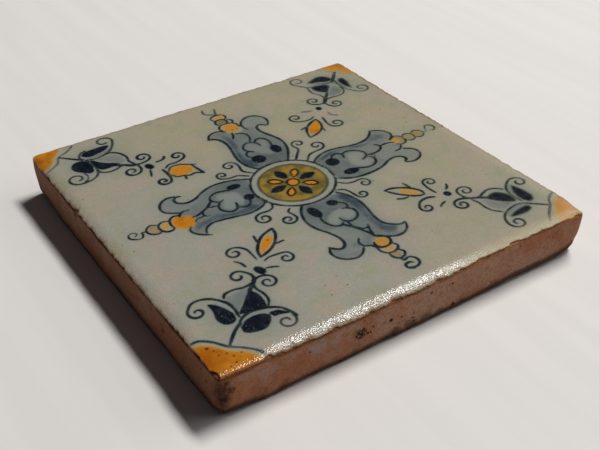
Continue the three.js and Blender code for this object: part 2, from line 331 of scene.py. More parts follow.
PETAL_WEST = [
    blob([(-12.9, -4), (-17, -6.1), (-21.5, -6.6), (-27, -5.4), (-32, -4.8), (-35.3, -5.9), (-36.7, -9),
        (-39.6, -7), (-40.1, -4.4), (-38.6, -2.6), (-37, -1), (-37, 2), (-38.6, 4), (-40, 6.2),
        (-42.2, 8.6), (-42.6, 11.4), (-41, 14.2), (-38.4, 15.5), (-36.4, 15), (-37, 12.4), (-35.6, 10.2),
        (-32.6, 9.7), (-28, 12), (-23, 13.9), (-17, 13.3), (-11.4, 10.8), (-13, 6), (-13.8, 1)], "wash",
        0.74),
    blob([(-16, -4.8), (-21, -5.8), (-27.5, -4.6), (-33, -4.2), (-36.2, -5.4), (-38.6, -5.8), (-37.2, -3),
        (-33, -2), (-29.5, -1.2), (-26, -3.2), (-22, -3.6), (-17.5, -3.2)], "wash", 1.45),
    blob([(-42, 9.6), (-42, 12), (-40.4, 14.2), (-38, 15), (-37.4, 12.2), (-35.4, 9.8), (-31, 9.4),
        (-33, 7), (-38.6, 6.8)], "wash", 0.42),
    blob([(-25.4, 5.8), (-24.2, 8.4), (-21.4, 8), (-18.4, 6.6), (-17.6, 3.4), (-18.4, 0), (-19.8, -1.5),
        (-21.6, -0.4), (-23.2, -1.8), (-25.6, -0.6), (-25.8, 1.6), (-24.4, 3.2)], "glaze", 0.88),
    line([(-10.4, 10.5), (-13.2, 12), (-16.4, 13.3), (-20, 14), (-24, 13.7), (-28, 12), (-31, 10.2),
        (-34.2, 9.8), (-36.6, 11.2), (-37, 13), (-35.6, 14.6), (-34, 14.3)], width=0.9),
    line([(-35.9, 15.3), (-38.4, 15.6), (-41, 14.3), (-42.6, 11.8), (-42.6, 9.2), (-41, 7.3), (-39, 6.1)]),
    line([(-39.6, 3.9), (-38.8, 5.2), (-37.3, 6), (-35.4, 5.7)], width=0.7),
    line([(-12.6, -3.4), (-14.7, -5.2), (-17.6, -6.4), (-21, -6.7), (-25.6, -5.8), (-30, -4.9),
        (-33.4, -4.9), (-35.6, -6.2), (-36.8, -8.4)], width=0.92),
    line([(-35.8, -10.2), (-38.2, -8.6), (-40, -6.4), (-40.3, -4.4), (-39.3, -3)]),
    oval(-17.2, 9.4, 2.45, 1.5, -6),
    oval(-16.1, 1.4, 1.75, 1.7),
    line([(-19, 8.3), (-21.4, 9.2), (-23.8, 9.6), (-26.2, 8.6), (-27.3, 6.7), (-26.6, 5.2)], width=0.85),
    line([(-27.2, 6.3), (-28.6, 5), (-30.2, 3.6), (-32.2, 2.6), (-34.4, 1.6), (-36.2, 1.4)], width=0.85),
    line([(-26.6, 5.6), (-25.6, 4.2), (-23.6, 4.6)], width=0.7),
    line([(-25.4, 4), (-26.6, 2.4), (-27.1, 0.4), (-26.2, -1.6), (-24.2, -2.8), (-22.4, -2.2),
        (-21.6, -0.6), (-21.2, 0.9)], width=0.85),
    line([(-21.8, -1.7), (-20.2, -2.7), (-18.3, -2.6), (-17, -1.2), (-16.7, 0.6)], width=0.85),
    line([(-30, 3.6), (-28.3, 3), (-26.6, 2.5)], width=0.7),
    line([(-32.2, 2.4), (-33, 0.9), (-32.4, -0.5), (-31.4, -0.7)], width=0.7),
    line([(-36.6, -0.9), (-35.2, -0.1), (-33.2, -0.1)], width=0.7),
]

PETAL_EAST = [
    blob([(12.8, 6.8), (16, 9.2), (20.5, 10.6), (26, 9.8), (32, 8.8), (37, 9.8), (41, 13), (44.6, 11.2),
        (46, 8.6), (44.4, 5.6), (42, 4.2), (40, 2.6), (42.4, 1.6), (43.8, -0.6), (44.8, -3.2), (46.4, -6.6),
        (44.8, -9.8), (41.4, -11.3), (38.8, -10.4), (39.7, -8), (37.6, -5.8), (33.6, -6.6), (29, -8.4),
        (23, -9), (17.6, -8), (13.8, -5.4), (14.2, 0)], "wash", 0.62),
    blob([(38, 10.2), (40.6, 10.8), (43, 8.8), (42, 6.8), (38.8, 7.2), (35, 8.2)], "wash", 1.1),
    blob([(15.4, 7.2), (20, 9.4), (26, 8.9), (33, 7.8), (36, 7), (31.6, 6), (28, 7.6), (22, 8.6),
        (17, 6.8)], "wash", 1.35),
    blob([(36, 2.6), (40, 2.4), (43.4, -2.8), (45.8, -6.4), (44.2, -9.8), (41, -10.8), (39.4, -9.8),
        (39.8, -7.4), (37.4, -4.8), (33.6, -5.4), (33, -1.6)], "wash", 0.38),
    blob([(25, 5.2), (27.4, 5.2), (29.6, 3.2), (29.2, 1.2), (27, -0.6), (29.6, -1.6), (29.6, -3.4),
        (27, -4.8), (24, -3.6), (22.6, -1), (23.4, 2)], "glaze", 0.9),
    line([(12.6, 7), (15, 8.9), (18, 10.3), (21.5, 10.8), (25.4, 10.2), (29.6, 9.1), (33.4, 8.9),
        (37.2, 9.9), (39.6, 11.8), (41.2, 13.7)], width=0.92),
    line([(41, 13.6), (43.4, 12.4), (45.5, 10.2), (45.9, 7.8), (44.7, 5.8), (42.8, 4.5)]),
    line([(13.6, -5.6), (16, -7.3), (19, -8.6), (22.6, -9.1), (26.6, -8.9), (30.4, -8.1), (34, -6.3),
        (37, -5.7), (39.3, -6.7), (39.9, -8.5), (38.5, -10.1)], width=0.92),
    line([(38.4, -10.5), (41, -11.4), (43.8, -10.7), (46, -8.6), (46.3, -6), (45.2, -4.2), (43.4, -3)]),
    line([(39.9, -2.6), (42, -2.5), (43.6, -1.1), (44.4, 0.1)], width=0.75),
    oval(18.1, 3.7, 2.4, 2.4),
    oval(20, -4.6, 2.8, 1.75, -4),
    line([(19.2, 6), (20.6, 7.5), (22.6, 7.3), (23.5, 5.8), (22.8, 3.6)], width=0.85),
    line([(23.6, 5.8), (25, 6.7), (27.2, 6.5), (29.4, 5), (30.7, 2.8), (30, 0.7), (27.6, -0.8)],
        width=0.85),
    line([(30.4, -0.3), (31.2, -2), (30.6, -4), (28.6, -5.5), (26, -5.7), (23.4, -4.5), (22, -3.8)],
        width=0.85),
    line([(30.8, 0.9), (33, 0.4), (35.4, 0.8), (37.2, 2), (37.6, 3.7), (36.6, 5)], width=0.8),
    line([(37.7, 3), (39.6, 3.3), (41.6, 3.1), (43, 2.4)], width=0.75),
    line([(31, 0.4), (32.6, -0.8), (31.4, -2)], width=0.6, ink=0.7),
]

PETAL_NORTH = [
    blob([(-4.8, 14.3), (-7, 18.5), (-7.4, 23), (-6.6, 28), (-5.4, 33), (-5.7, 38), (-8.6, 41.2),
        (-7, 43.8), (-4.4, 44.5), (-2.2, 43.2), (-0.4, 41), (3, 39.6), (5.8, 42.6), (7.2, 46), (10.8, 48),
        (14.4, 46.4), (15.5, 43), (13.6, 38.9), (11.2, 40.3), (9.4, 38.4), (9.8, 34), (11.4, 29),
        (11.6, 24), (9.6, 18.4), (6.6, 13.6), (0, 14.8)], "wash", 0.74),
    blob([(-5, 16.4), (-6.8, 20), (-6.6, 25), (-5.4, 30), (-4.4, 35), (-4.4, 38), (-4.6, 39.4), (-3.6, 41),
        (-2.6, 40), (-2, 37), (-2.6, 32), (-4, 28), (-4.8, 24), (-3.8, 20), (-3.4, 16.6)], "wash", 1.45),
    blob([(6.2, 41.6), (6.8, 44.8), (9, 47), (12, 47.6), (14.6, 46), (15.3, 43), (13.6, 39.4), (11.6, 40.8),
        (9.4, 39.8)], "wash", 0.3),
    blob([(-1.6, 28.4), (0.2, 30.4), (2.4, 30), (3.8, 27), (4.8, 30.4), (6.6, 30.6), (6.8, 27.6), (5.6, 24),
        (5, 20), (2, 21.6), (0.4, 24.4), (-1, 25.4)], "glaze", 0.55),
    line([(-4.6, 14), (-6.3, 16.8), (-7.3, 20.4), (-7.3, 24.4), (-6.5, 28.2), (-5.6, 32), (-5.3, 35.6),
        (-5.9, 38.6), (-7.3, 40.4), (-9.2, 41.2)], width=0.95),
    line([(-9, 41.2), (-7.4, 43.7), (-4.9, 44.7), (-2.6, 44.1), (-1.4, 42.8)]),
    line([(-1.5, 36.8), (-0.4, 38.8), (0.3, 40.9)], width=0.8),
    line([(6.3, 13.2), (8.5, 16.5), (10.6, 20.2), (11.8, 24.4), (11.8, 27.4), (10.8, 31), (9.7, 34.4),
        (9.2, 37.4), (9.8, 39.6), (11.4, 40.4), (13.4, 38.6)], width=0.92),
    line([(13.6, 38.4), (15.2, 40.6), (15.7, 43.6), (14.2, 46.6), (11.4, 48.1), (8.7, 47.3), (6.5, 45.3),
        (5.7, 42.8), (6.1, 39.8)]),
    oval(-1.2, 19.8, 2.5, 2.55),
    oval(7.3, 22.5, 1.85, 2.7, -6),
    line([(-2.6, 21.7), (-3.5, 23.4), (-2.9, 25.3), (-1.3, 26.1), (-0.2, 24.9)], width=0.8),
    line([(-1.7, 26.2), (-2.2, 28.2), (-1.2, 30.4), (0.6, 31.5), (2.4, 31), (3.8, 29.2), (4, 27.3)],
        width=0.85),
    line([(3.3, 30.2), (4.6, 31.7), (6.4, 31.8), (7.7, 30.4), (8, 28), (7.4, 25.4), (7.1, 24)], width=0.85),
    line([(2.2, 31.6), (3.7, 34.2), (4, 36.9), (2.8, 38.8), (1, 39.4)], width=0.85),
]

# Beads that end each petal, with a small curl at the end

BEADS_SOUTH = [
    oval(3.8, -42.3, 2.2, 2.1, 0, "ochre", 0.6),
    oval(3.8, -42.3, 2.1, 2.0, 0, "ink", 0.16),
    oval(3.7, -45.9, 1.9, 1.5, 0, "ochre", 0.42),
    oval(3.4, -49.6, 1.5, 1.6, 0, "olive", 0.6),
    line([(4.4, -39.3), (6.4, -40.8), (6.5, -43), (4.9, -44.6), (2.4, -44.6), (1.2, -43.2), (1.6, -41)],
        width=0.8),
    line([(0.8, -43.6), (0.7, -46), (2.2, -47.9), (4.9, -47.9), (6.6, -46.2), (5.8, -44.3)], width=0.8),
    line([(1.9, -48), (2, -50.3), (3.4, -51.7), (5.4, -51.1), (6.3, -49.6), (5.4, -48.1)], width=0.8),
    scroll([(3.2, -51.8), (3.6, -53), (5.6, -52.6)], (4.6, -55), -1, turns=0.55, tight=0.9),
    line([(4.6, -57.6), (3.2, -57.5), (2.2, -56.3), (2.7, -54.9), (4.2, -54.7), (5, -55.3)]),
]

BEADS_WEST = [
    blob([(-43.4, 0.8), (-42.8, 3.3), (-40.8, 4.8), (-38.9, 3.9), (-37, 2.9), (-35.9, 1.2), (-36.6, -1.2),
        (-38.2, -3), (-40.4, -3.2), (-42.6, -1.6)], "ochre", 0.85, fade=1.1),
    oval(-38.6, -0.6, 2.4, 2.4, 0, "ink", 0.14),
    oval(-45.4, 1.8, 1.7, 1.9, 0, "ochre", 0.42),
    oval(-49.1, 2.1, 1.6, 2.1, 0, "olive", 0.6),
    line([(-43.5, -0.6), (-43.8, 1.6), (-43, 4), (-41.2, 5.3), (-39.4, 4.6)], width=0.75),
    line([(-43.6, 4), (-45.6, 4.5), (-47.3, 3.2), (-47.6, 1), (-46.6, -0.9), (-44.7, -1.3), (-43.5, -0.4)],
        width=0.75),
    line([(-47.4, 3.8), (-49.3, 4.9), (-51, 3.9), (-51.6, 2), (-50.6, 0.2), (-48.8, -0.5), (-47.5, 0)],
        width=0.7),
    line([(-51.5, 2.5), (-53, 2.9), (-53.2, 1.5), (-54.3, 0.2), (-56, 0.7), (-57.4, 2.3), (-56.8, 4),
        (-55.3, 4.2), (-54.6, 3), (-55.5, 2.2)], width=0.65),
]

BEADS_EAST = [
    oval(45, 2.8, 2.2, 2.4, 15, "olive", 0.6),
    oval(44.2, 2.8, 1.3, 1.7, 15, "ochre", 0.5),
    oval(49.9, 2.5, 1.9, 1.9, 0, "olive", 0.5),
    oval(53.8, 2.7, 2, 2.1, 0, "olive", 0.62),
    line([(43.3, 4.4), (45.2, 5.7), (47.2, 4.9), (47.7, 2.6), (46.9, 0.4), (44.9, -0.2), (43.4, 0.8)],
        width=0.75, ink=0.8),
    line([(47.8, 3.6), (49.3, 4.8), (51.4, 4.2), (52, 2.4), (51.2, 0.6), (49.2, 0.1), (47.9, 1.2)],
        width=0.7, ink=0.8),
    line([(51.9, 4), (53.8, 5), (55.6, 4), (56.1, 2.2), (54.9, 0.5), (52.9, 0.3), (51.8, 1.2)], width=0.7,
        ink=0.8),
    line([(56, 2.1), (57.5, 2.2), (58.3, 3.8), (59.8, 5.5), (61.5, 4.5), (61.7, 2.7), (60.3, 1.4),
        (59.3, 1.9)], width=0.65, ink=0.7),
]

BEADS_NORTH = [
    blob([(1.6, 40.8), (-0.6, 42.6), (-1.2, 45), (0.6, 47.2), (3, 47.2), (4.6, 45.2), (4.2, 42.6)], "ochre",
        0.66, fade=0.8),
    oval(0.9, 50.1, 1.9, 1.8, 0, "olive", 0.75),
    oval(2.3, 53.4, 2, 1.9, 0, "ochre", 0.4),
    line([(-1.6, 43.4), (-2.1, 45.6), (-0.9, 47.6), (1.2, 48.1), (3.4, 47.7), (4.9, 46), (4.8, 43.6)],
        width=0.75, ink=0.85),
    line([(-0.7, 48), (-1.3, 50), (-0.4, 51.7), (1.2, 52.1), (2.8, 51.3), (3.1, 49.4), (2.4, 48.2)],
        width=0.75, ink=0.85),
    line([(4.4, 47.4), (5, 49.2), (4, 50.8)], width=0.9, ink=0.85),
    line([(-0.6, 52), (-1.2, 53.8), (0, 55.4), (2.2, 55.7), (4.1, 54.8), (4.4, 52.8), (3.4, 51.6)],
        width=0.75, ink=0.8),
    line([(2.1, 55.8), (1, 57), (-0.7, 58), (-1.2, 60), (-0.3, 62.2)], width=0.7, ink=0.7),
    line([(2.3, 56), (2.8, 58), (3.9, 60.6)], width=0.8, ink=0.75),
]

# Pairs of tendrils between the petals

TENDRILS = {
    "south_west": [
        scroll([(-12.4, -6.2), (-13.2, -8.2), (-15.2, -9), (-18.2, -8.8)], (-18.4, -11.9), 1, 1.35),
        scroll([(-9, -11.6), (-10.4, -13), (-10, -15), (-9.9, -17.2)], (-12.6, -16.6), -1, 1.25),
    ],
    "south_east": [
        scroll([(12.2, -7.8), (14, -9.8), (16.4, -10.5), (19.3, -10.4)], (19.2, -12.9), -1, 1.15, ink=0.85),
        scroll([(9, -11.3), (11.2, -12.5), (12, -14.4), (12.4, -17.2)], (14.7, -17.8), 1, 1.2),
    ],
    "north_west": [
        scroll([(-9.6, 12.2), (-12.6, 14.6), (-15.6, 14.8), (-18, 15.8)], (-16.8, 17.7), -1, 1.15,
            ink=0.85),
        scroll([(-7.6, 13.2), (-9.8, 16.2), (-9.2, 19.6), (-9.2, 21.4)], (-12, 21.5), 1, 1.2, ink=0.85),
    ],
    "north_east": [
        scroll([(8.8, 12.2), (11.6, 15.4), (13.4, 17.8), (12.9, 20.2)], (15.4, 20.9), -1, 1.15, ink=0.85),
        scroll([(11.8, 9.4), (14.4, 12.2), (17.4, 13), (20.4, 13.3)], (19.9, 16.2), 1, 1.15, ink=0.85),
    ],
}

# Sprays, one in each quarter: bud, dot, scrolls, leaves, and the fan in the tile's corner

SPRAY_SOUTH_WEST = {
    "bud": [
        blob([(-22.2, -19.9), (-21.3, -21.4), (-23.2, -24), (-26, -26), (-28.6, -27), (-28.1, -24.8),
            (-25.8, -21.8)], "ochre", 0.95, fade=1.3),
        line([(-29.7, -28.2), (-29, -25.3), (-26.8, -22), (-23.8, -19.3), (-19.4, -17.6)], width=0.95),
        line([(-19.3, -17.6), (-19.9, -20.4), (-21.6, -23.2), (-24.4, -25.9), (-27, -27.3), (-29.8, -28.2)],
            width=0.95),
        line([(-26.7, -20.9), (-26, -17.8)]),
        line([(-22.6, -25), (-19.6, -24.9)]),
    ],
    "scrolls": [
        scroll([(-31.3, -28.4), (-31.2, -25.6), (-31.3, -22.6), (-32.8, -20.4)], (-35.2, -22.3), 1, 1.2),
        scroll([(-29.9, -30.4), (-28, -29.6), (-25, -29.7), (-22.2, -30.4)], (-23.7, -32.6), -1, 1.15),
        line([(-37.3, -25.6), (-36.2, -27.2), (-35.7, -29.8)], ink=0.85),
        line([(-31.2, -33.5), (-29.4, -34.1), (-27.7, -35)], ink=0.8),
    ],
    "dot": [oval(-33.2, -33.4, 1.35, 2.15, 14)],
    "leaves": [
        scroll([(-36.7, -36.6), (-36.3, -34), (-37.3, -31.8)], (-40, -32.5), 1, 0.95, tight=0.35,
            width=0.95),
        scroll([(-37.4, -36.7), (-35, -35.8), (-33, -36.4)], (-34.1, -39.2), -1, 1.25),
        line([(-36.6, -35.6), (-37.6, -37.2), (-39.4, -38.8), (-41, -40.4)], width=1.3),
        line([(-37.8, -37.1), (-40.6, -37.6), (-44.2, -36.9), (-47, -37.3), (-48, -38.6)], width=0.9),
        line([(-37.9, -37.4), (-38.4, -40), (-37.8, -43), (-38, -45.8), (-39.4, -48.2)]),
        blob([(-47.8, -38.7), (-44, -38.1), (-40, -38.3), (-41.2, -40.5), (-43.6, -42.5), (-47.4, -46),
            (-47.9, -42)], "wash", 0.6),
        blob([(-47.6, -46.8), (-45, -44), (-42.3, -41.2), (-40.4, -40), (-39.3, -42), (-39.2, -45),
            (-40.3, -48.3), (-43.5, -47.7), (-46, -47.3)]),
        blob([(-52.9, -38.5), (-51.2, -40), (-49.8, -42.8), (-49, -46), (-49.7, -48.3), (-51.5, -49),
            (-53.3, -48), (-54, -45.5), (-53.2, -42)]),
        scroll([(-48.3, -47.6), (-47.8, -44), (-48.1, -41.2), (-49.4, -38.8), (-51.4, -36.6), (-54, -35.5),
            (-56.6, -35.7), (-58.4, -37.4)], (-56.9, -39.9), 1, 1.05, tight=0.25, width=0.9),
        blob([(-50.3, -52.5), (-49, -50.8), (-46.8, -49.7), (-44.3, -49.6), (-41.6, -50.8), (-41.3, -52.3),
            (-42.8, -54.5), (-45, -55.7), (-48, -55.3), (-50.2, -54)]),
        blob([(-40.8, -51), (-39, -50.9), (-37.4, -52), (-36.4, -53.8), (-38.4, -53.1), (-40.3, -52.7)]),
        line([(-50.2, -51), (-48.4, -48.9), (-45.8, -47.8), (-42.4, -48), (-39.4, -49), (-37, -50.9),
            (-35.7, -53.6), (-35.2, -55.9)], width=0.9),
        scroll([(-35.8, -54.2), (-35.9, -56.6)], (-38.7, -56.4), -1, 1.0, tight=0.35, ink=0.8),
        line([(-49.6, -50), (-52.6, -52.4), (-55.9, -55.9)], width=1.0),
    ],
    "fan": [
        blob([(-67, -51.2), (-62.9, -51.3), (-60.5, -52.8), (-58.5, -55.3), (-56.7, -57.6), (-54, -59.7),
            (-52.2, -62), (-51, -64.2), (-50.6, -68), (-60, -69), (-67, -69)], "ochre", 1.0, fade=1.9),
        line([(-65.4, -49.8), (-62.8, -49.9), (-60.9, -50.9), (-58.7, -53.2), (-56.6, -56.3), (-54, -58.4),
            (-51.6, -60.9), (-50.2, -63.2), (-49.5, -65.6)], width=0.85, ink=0.76),
    ],
}

SPRAY_NORTH_WEST = {
    "bud": [
        blob([(-29.6, 31.2), (-27.4, 32), (-24.6, 31.6), (-22.5, 29.7), (-22.4, 27.4), (-23.2, 25.7),
            (-25.5, 25.2), (-28.2, 25.2), (-29.8, 26.8), (-30, 29.2)], "ochre", 0.92, fade=1.4),
        oval(-28.9, 28.4, 2.2, 3.0, 0, "olive", 0.75),
        line([(-30.3, 30), (-28.4, 32.3), (-25, 32.1), (-22.4, 30.3), (-20.2, 29.1)], width=0.8, ink=0.75),
        line([(-21.9, 30), (-21.5, 27), (-20.7, 22.8)], width=0.9),
        line([(-20.7, 22.8), (-23.2, 24.4), (-25.4, 24.1), (-26.9, 25), (-29.3, 25.6), (-30.2, 27.6)],
            width=0.85, ink=0.8),
        line([(-26.9, 24.8), (-27.3, 22.6)], width=0.9),
    ],
    "scrolls": [
        scroll([(-30, 32.8), (-28.2, 34.1), (-25.4, 34.1), (-22.6, 35)], (-23.3, 37.8), 1, 1.2, width=0.9),
        scroll([(-31.3, 32.6), (-31.2, 29.4), (-31.4, 26.2), (-32.2, 24.2)], (-34.2, 25.7), -1, 1.2,
            width=0.95),
        line([(-31, 38.2), (-29, 38.3), (-27.6, 39.1), (-27, 40.3)], width=1.05),
        line([(-34.9, 34.6), (-35.6, 32.3), (-36.3, 30.5)]),
    ],
    "dot": [oval(-34.1, 36.9, 1.3, 1.9, 14)],
    "leaves": [
        scroll([(-38, 41.4), (-36, 40.4), (-33.8, 40.6)], (-33.6, 43.8), 1, 1.25, width=0.9),
        scroll([(-38, 41.6), (-36.9, 39.6), (-37, 37)], (-40.2, 37.3), -1, 1.25, width=1.0),
        line([(-43, 43.9), (-40.6, 42.6), (-38.4, 40.8), (-36.8, 40.2)], width=1.5),
        line([(-44, 52.8), (-41.6, 53.2), (-39.6, 51.9), (-38.2, 49.4), (-37.8, 47), (-38.3, 44),
            (-37.4, 41.6)], width=0.9),
        line([(-49.5, 45), (-48.8, 42.7), (-46.5, 41.5), (-44, 41.8), (-41.8, 42.6)], width=0.9),
        blob([(-47.4, 51.4), (-44, 51.8), (-40.6, 51.4), (-39.2, 48.6), (-39.2, 45.2), (-41.4, 44.6),
            (-44, 47.4)], "wash", 0.6),
        blob([(-48.6, 52), (-47.4, 50), (-45.4, 47.6), (-42.3, 45.4), (-41.6, 44.2), (-44.5, 43.9),
            (-48, 44.3), (-49, 46.5), (-49.1, 50)]),
        blob([(-52.8, 53.7), (-55, 53), (-56.4, 50.5), (-55.8, 48), (-54, 46), (-52.3, 44.5), (-51, 44.7),
            (-50, 47.5), (-50, 50.5), (-51, 53)]),
        scroll([(-50.2, 53), (-49.2, 50.5), (-49.2, 47.5), (-49.6, 44.4), (-50.8, 41.8), (-53.2, 40.2),
            (-55.6, 39.7)], (-57.2, 43.2), -1, 1.05, tight=0.3, width=0.9, ink=0.82),
        line([(-54, 45.4), (-53.6, 43.4), (-54.3, 41.4), (-56, 40)], width=0.7, ink=0.8),
        blob([(-50, 53.4), (-47.2, 52.4), (-44, 52.9), (-41, 54.5), (-39.4, 57.6), (-41.5, 56.3), (-45, 55),
            (-49, 54.8)], "wash", 0.6),
        blob([(-50.4, 56.8), (-48.6, 58.4), (-45, 58.9), (-41.6, 58.9), (-39.8, 58.3), (-41.5, 56.3),
            (-45, 55), (-49, 54.9)]),
        line([(-50.4, 53.4), (-51.4, 56), (-50.2, 58.4), (-48, 59.4)], width=0.8, ink=0.8),
        scroll([(-50, 53.2), (-47.2, 52.3), (-44, 52.8), (-41, 54.4), (-39, 56.8), (-37.6, 59.6),
            (-37.1, 61.6)], (-40.2, 61.7), 1, 0.85, tight=0.45, width=0.9, ink=0.78),
        line([(-51.2, 54), (-54.4, 57.3), (-57.2, 60.3)], width=1.0),
    ],
    "fan": [
        blob([(-67, 54.8), (-62, 56.2), (-59.6, 57.8), (-58.9, 60), (-57.2, 61.9), (-55.6, 64), (-54.6, 68),
            (-60, 70), (-67, 69)], "ochre", 0.85, fade=1.8),
        line([(-65, 53.2), (-61.8, 54.6), (-59.6, 56), (-58.4, 57.6), (-57.9, 59.4), (-56.6, 60.9),
            (-54.3, 62), (-52.3, 63.4), (-50.2, 65.8)], width=0.75, ink=0.62),
    ],
}

SPRAY_NORTH_EAST = {
    "bud": [
        blob([(29.8, 31), (27, 30), (24.4, 27.4), (22.8, 24.2), (24.6, 23.2), (28, 24.8), (30, 28.2)],
            "ochre", 0.95, fade=1.1),
        line([(30.4, 32), (27.2, 30.7), (24.2, 28.4), (22.4, 25.6), (21.3, 22)], width=0.95, ink=0.85),
        line([(30.4, 31.8), (30.2, 28.8), (28.6, 25.4), (26, 23.3), (21.5, 21.9)], width=0.85, ink=0.85),
        line([(24, 29.1), (21.6, 28.3)], ink=0.75),
        line([(29, 26), (28.3, 22.5)], ink=0.75),
    ],
    "scrolls": [
        scroll([(31, 34.2), (28.8, 33.1), (26, 33.2), (23.6, 34.5)], (24.8, 37), -1, 1.2, ink=0.82),
        scroll([(33.3, 32), (32.6, 29.4), (32.1, 26.8), (32.6, 24.4)], (35.2, 25.6), 1, 1.2, ink=0.78),
        line([(29.3, 39.6), (31, 38.8), (33, 38.2)], width=1.0, ink=0.55),
        line([(37.2, 34.2), (37, 31.8), (38.9, 29.8)], width=1.0, ink=0.55),
    ],
    "dot": [oval(36, 38.3, 1.1, 1.35, -20)],
    "leaves": [
        scroll([(40.6, 41.4), (38.8, 40.8), (36.6, 41.8)], (37.7, 44.4), -1, 1.2, ink=0.8),
        scroll([(40.3, 41), (40.7, 38.4), (42, 36.4)], (43.8, 38.3), 1, 1.15, ink=0.8),
        line([(46, 47.2), (43.4, 44.2), (40, 40.4)], width=1.3, ink=0.85),
        line([(42, 55), (41.3, 52.5), (41.2, 50), (42.3, 47.5), (42.7, 45), (41.6, 43)], ink=0.72),
        line([(52.8, 48.4), (52.6, 45.7), (50.8, 43.4), (48, 42.7), (44.6, 43), (42, 42.4)], ink=0.78),
        blob([(47.8, 48), (50.8, 50.6), (52, 48.6), (51.8, 45.6), (49.6, 43.9), (45.6, 44), (45.4, 45.6)],
            "wash", 0.8),
        blob([(43.6, 57), (47, 56.4), (51, 54.8), (54, 54.8), (55, 52), (54.8, 47), (53.6, 48.4),
            (52, 51.6), (47.6, 54.2)], "wash", 0.6),
        blob([(43.3, 54.3), (45.5, 54.3), (49.5, 53), (50, 51.5), (48, 49), (46.2, 47.2), (44.8, 48.3),
            (43, 51)], strength=0.95, fade=0.9),
        blob([(56.3, 54.6), (57.8, 54.6), (58.2, 51.5), (57, 47.5), (56.2, 45.2), (55.3, 46.6), (54.8, 50),
            (55.1, 53)], strength=0.95, fade=0.9),
        scroll([(54.2, 54.2), (53.6, 50), (53.9, 46), (55.1, 43.2), (57, 40.9)], (59.3, 43.3), 1, 1.15,
            ink=0.68),
        blob([(44.3, 58.3), (46.5, 59.5), (50, 60.7), (52.5, 60), (54.1, 57.5), (53.6, 55.2), (51, 55),
            (48, 56.4), (45.5, 57.1)], strength=0.95, fade=0.9),
        scroll([(53, 54.2), (49.6, 53.8), (46, 54.4), (42.8, 54.6), (40.6, 57.2), (39, 60)], (41.6, 61.6),
            -1, 1.0, tight=0.4, ink=0.62),
        line([(52.6, 53.6), (55.6, 56.8), (58.6, 60.2)], width=1.4, ink=0.8),
    ],
    "fan": [
        blob([(55, 68), (55.8, 64.6), (57.2, 62), (59.6, 60), (61, 57.6), (62.6, 55.2), (67, 54), (67, 69),
            (60, 70)], "ochre", 0.62, fade=1.6),
        line([(54.6, 65.6), (56.3, 62.6), (58.6, 60.6), (60.4, 57.6), (62.6, 54.8)], width=0.9, ink=0.28),
    ],
}

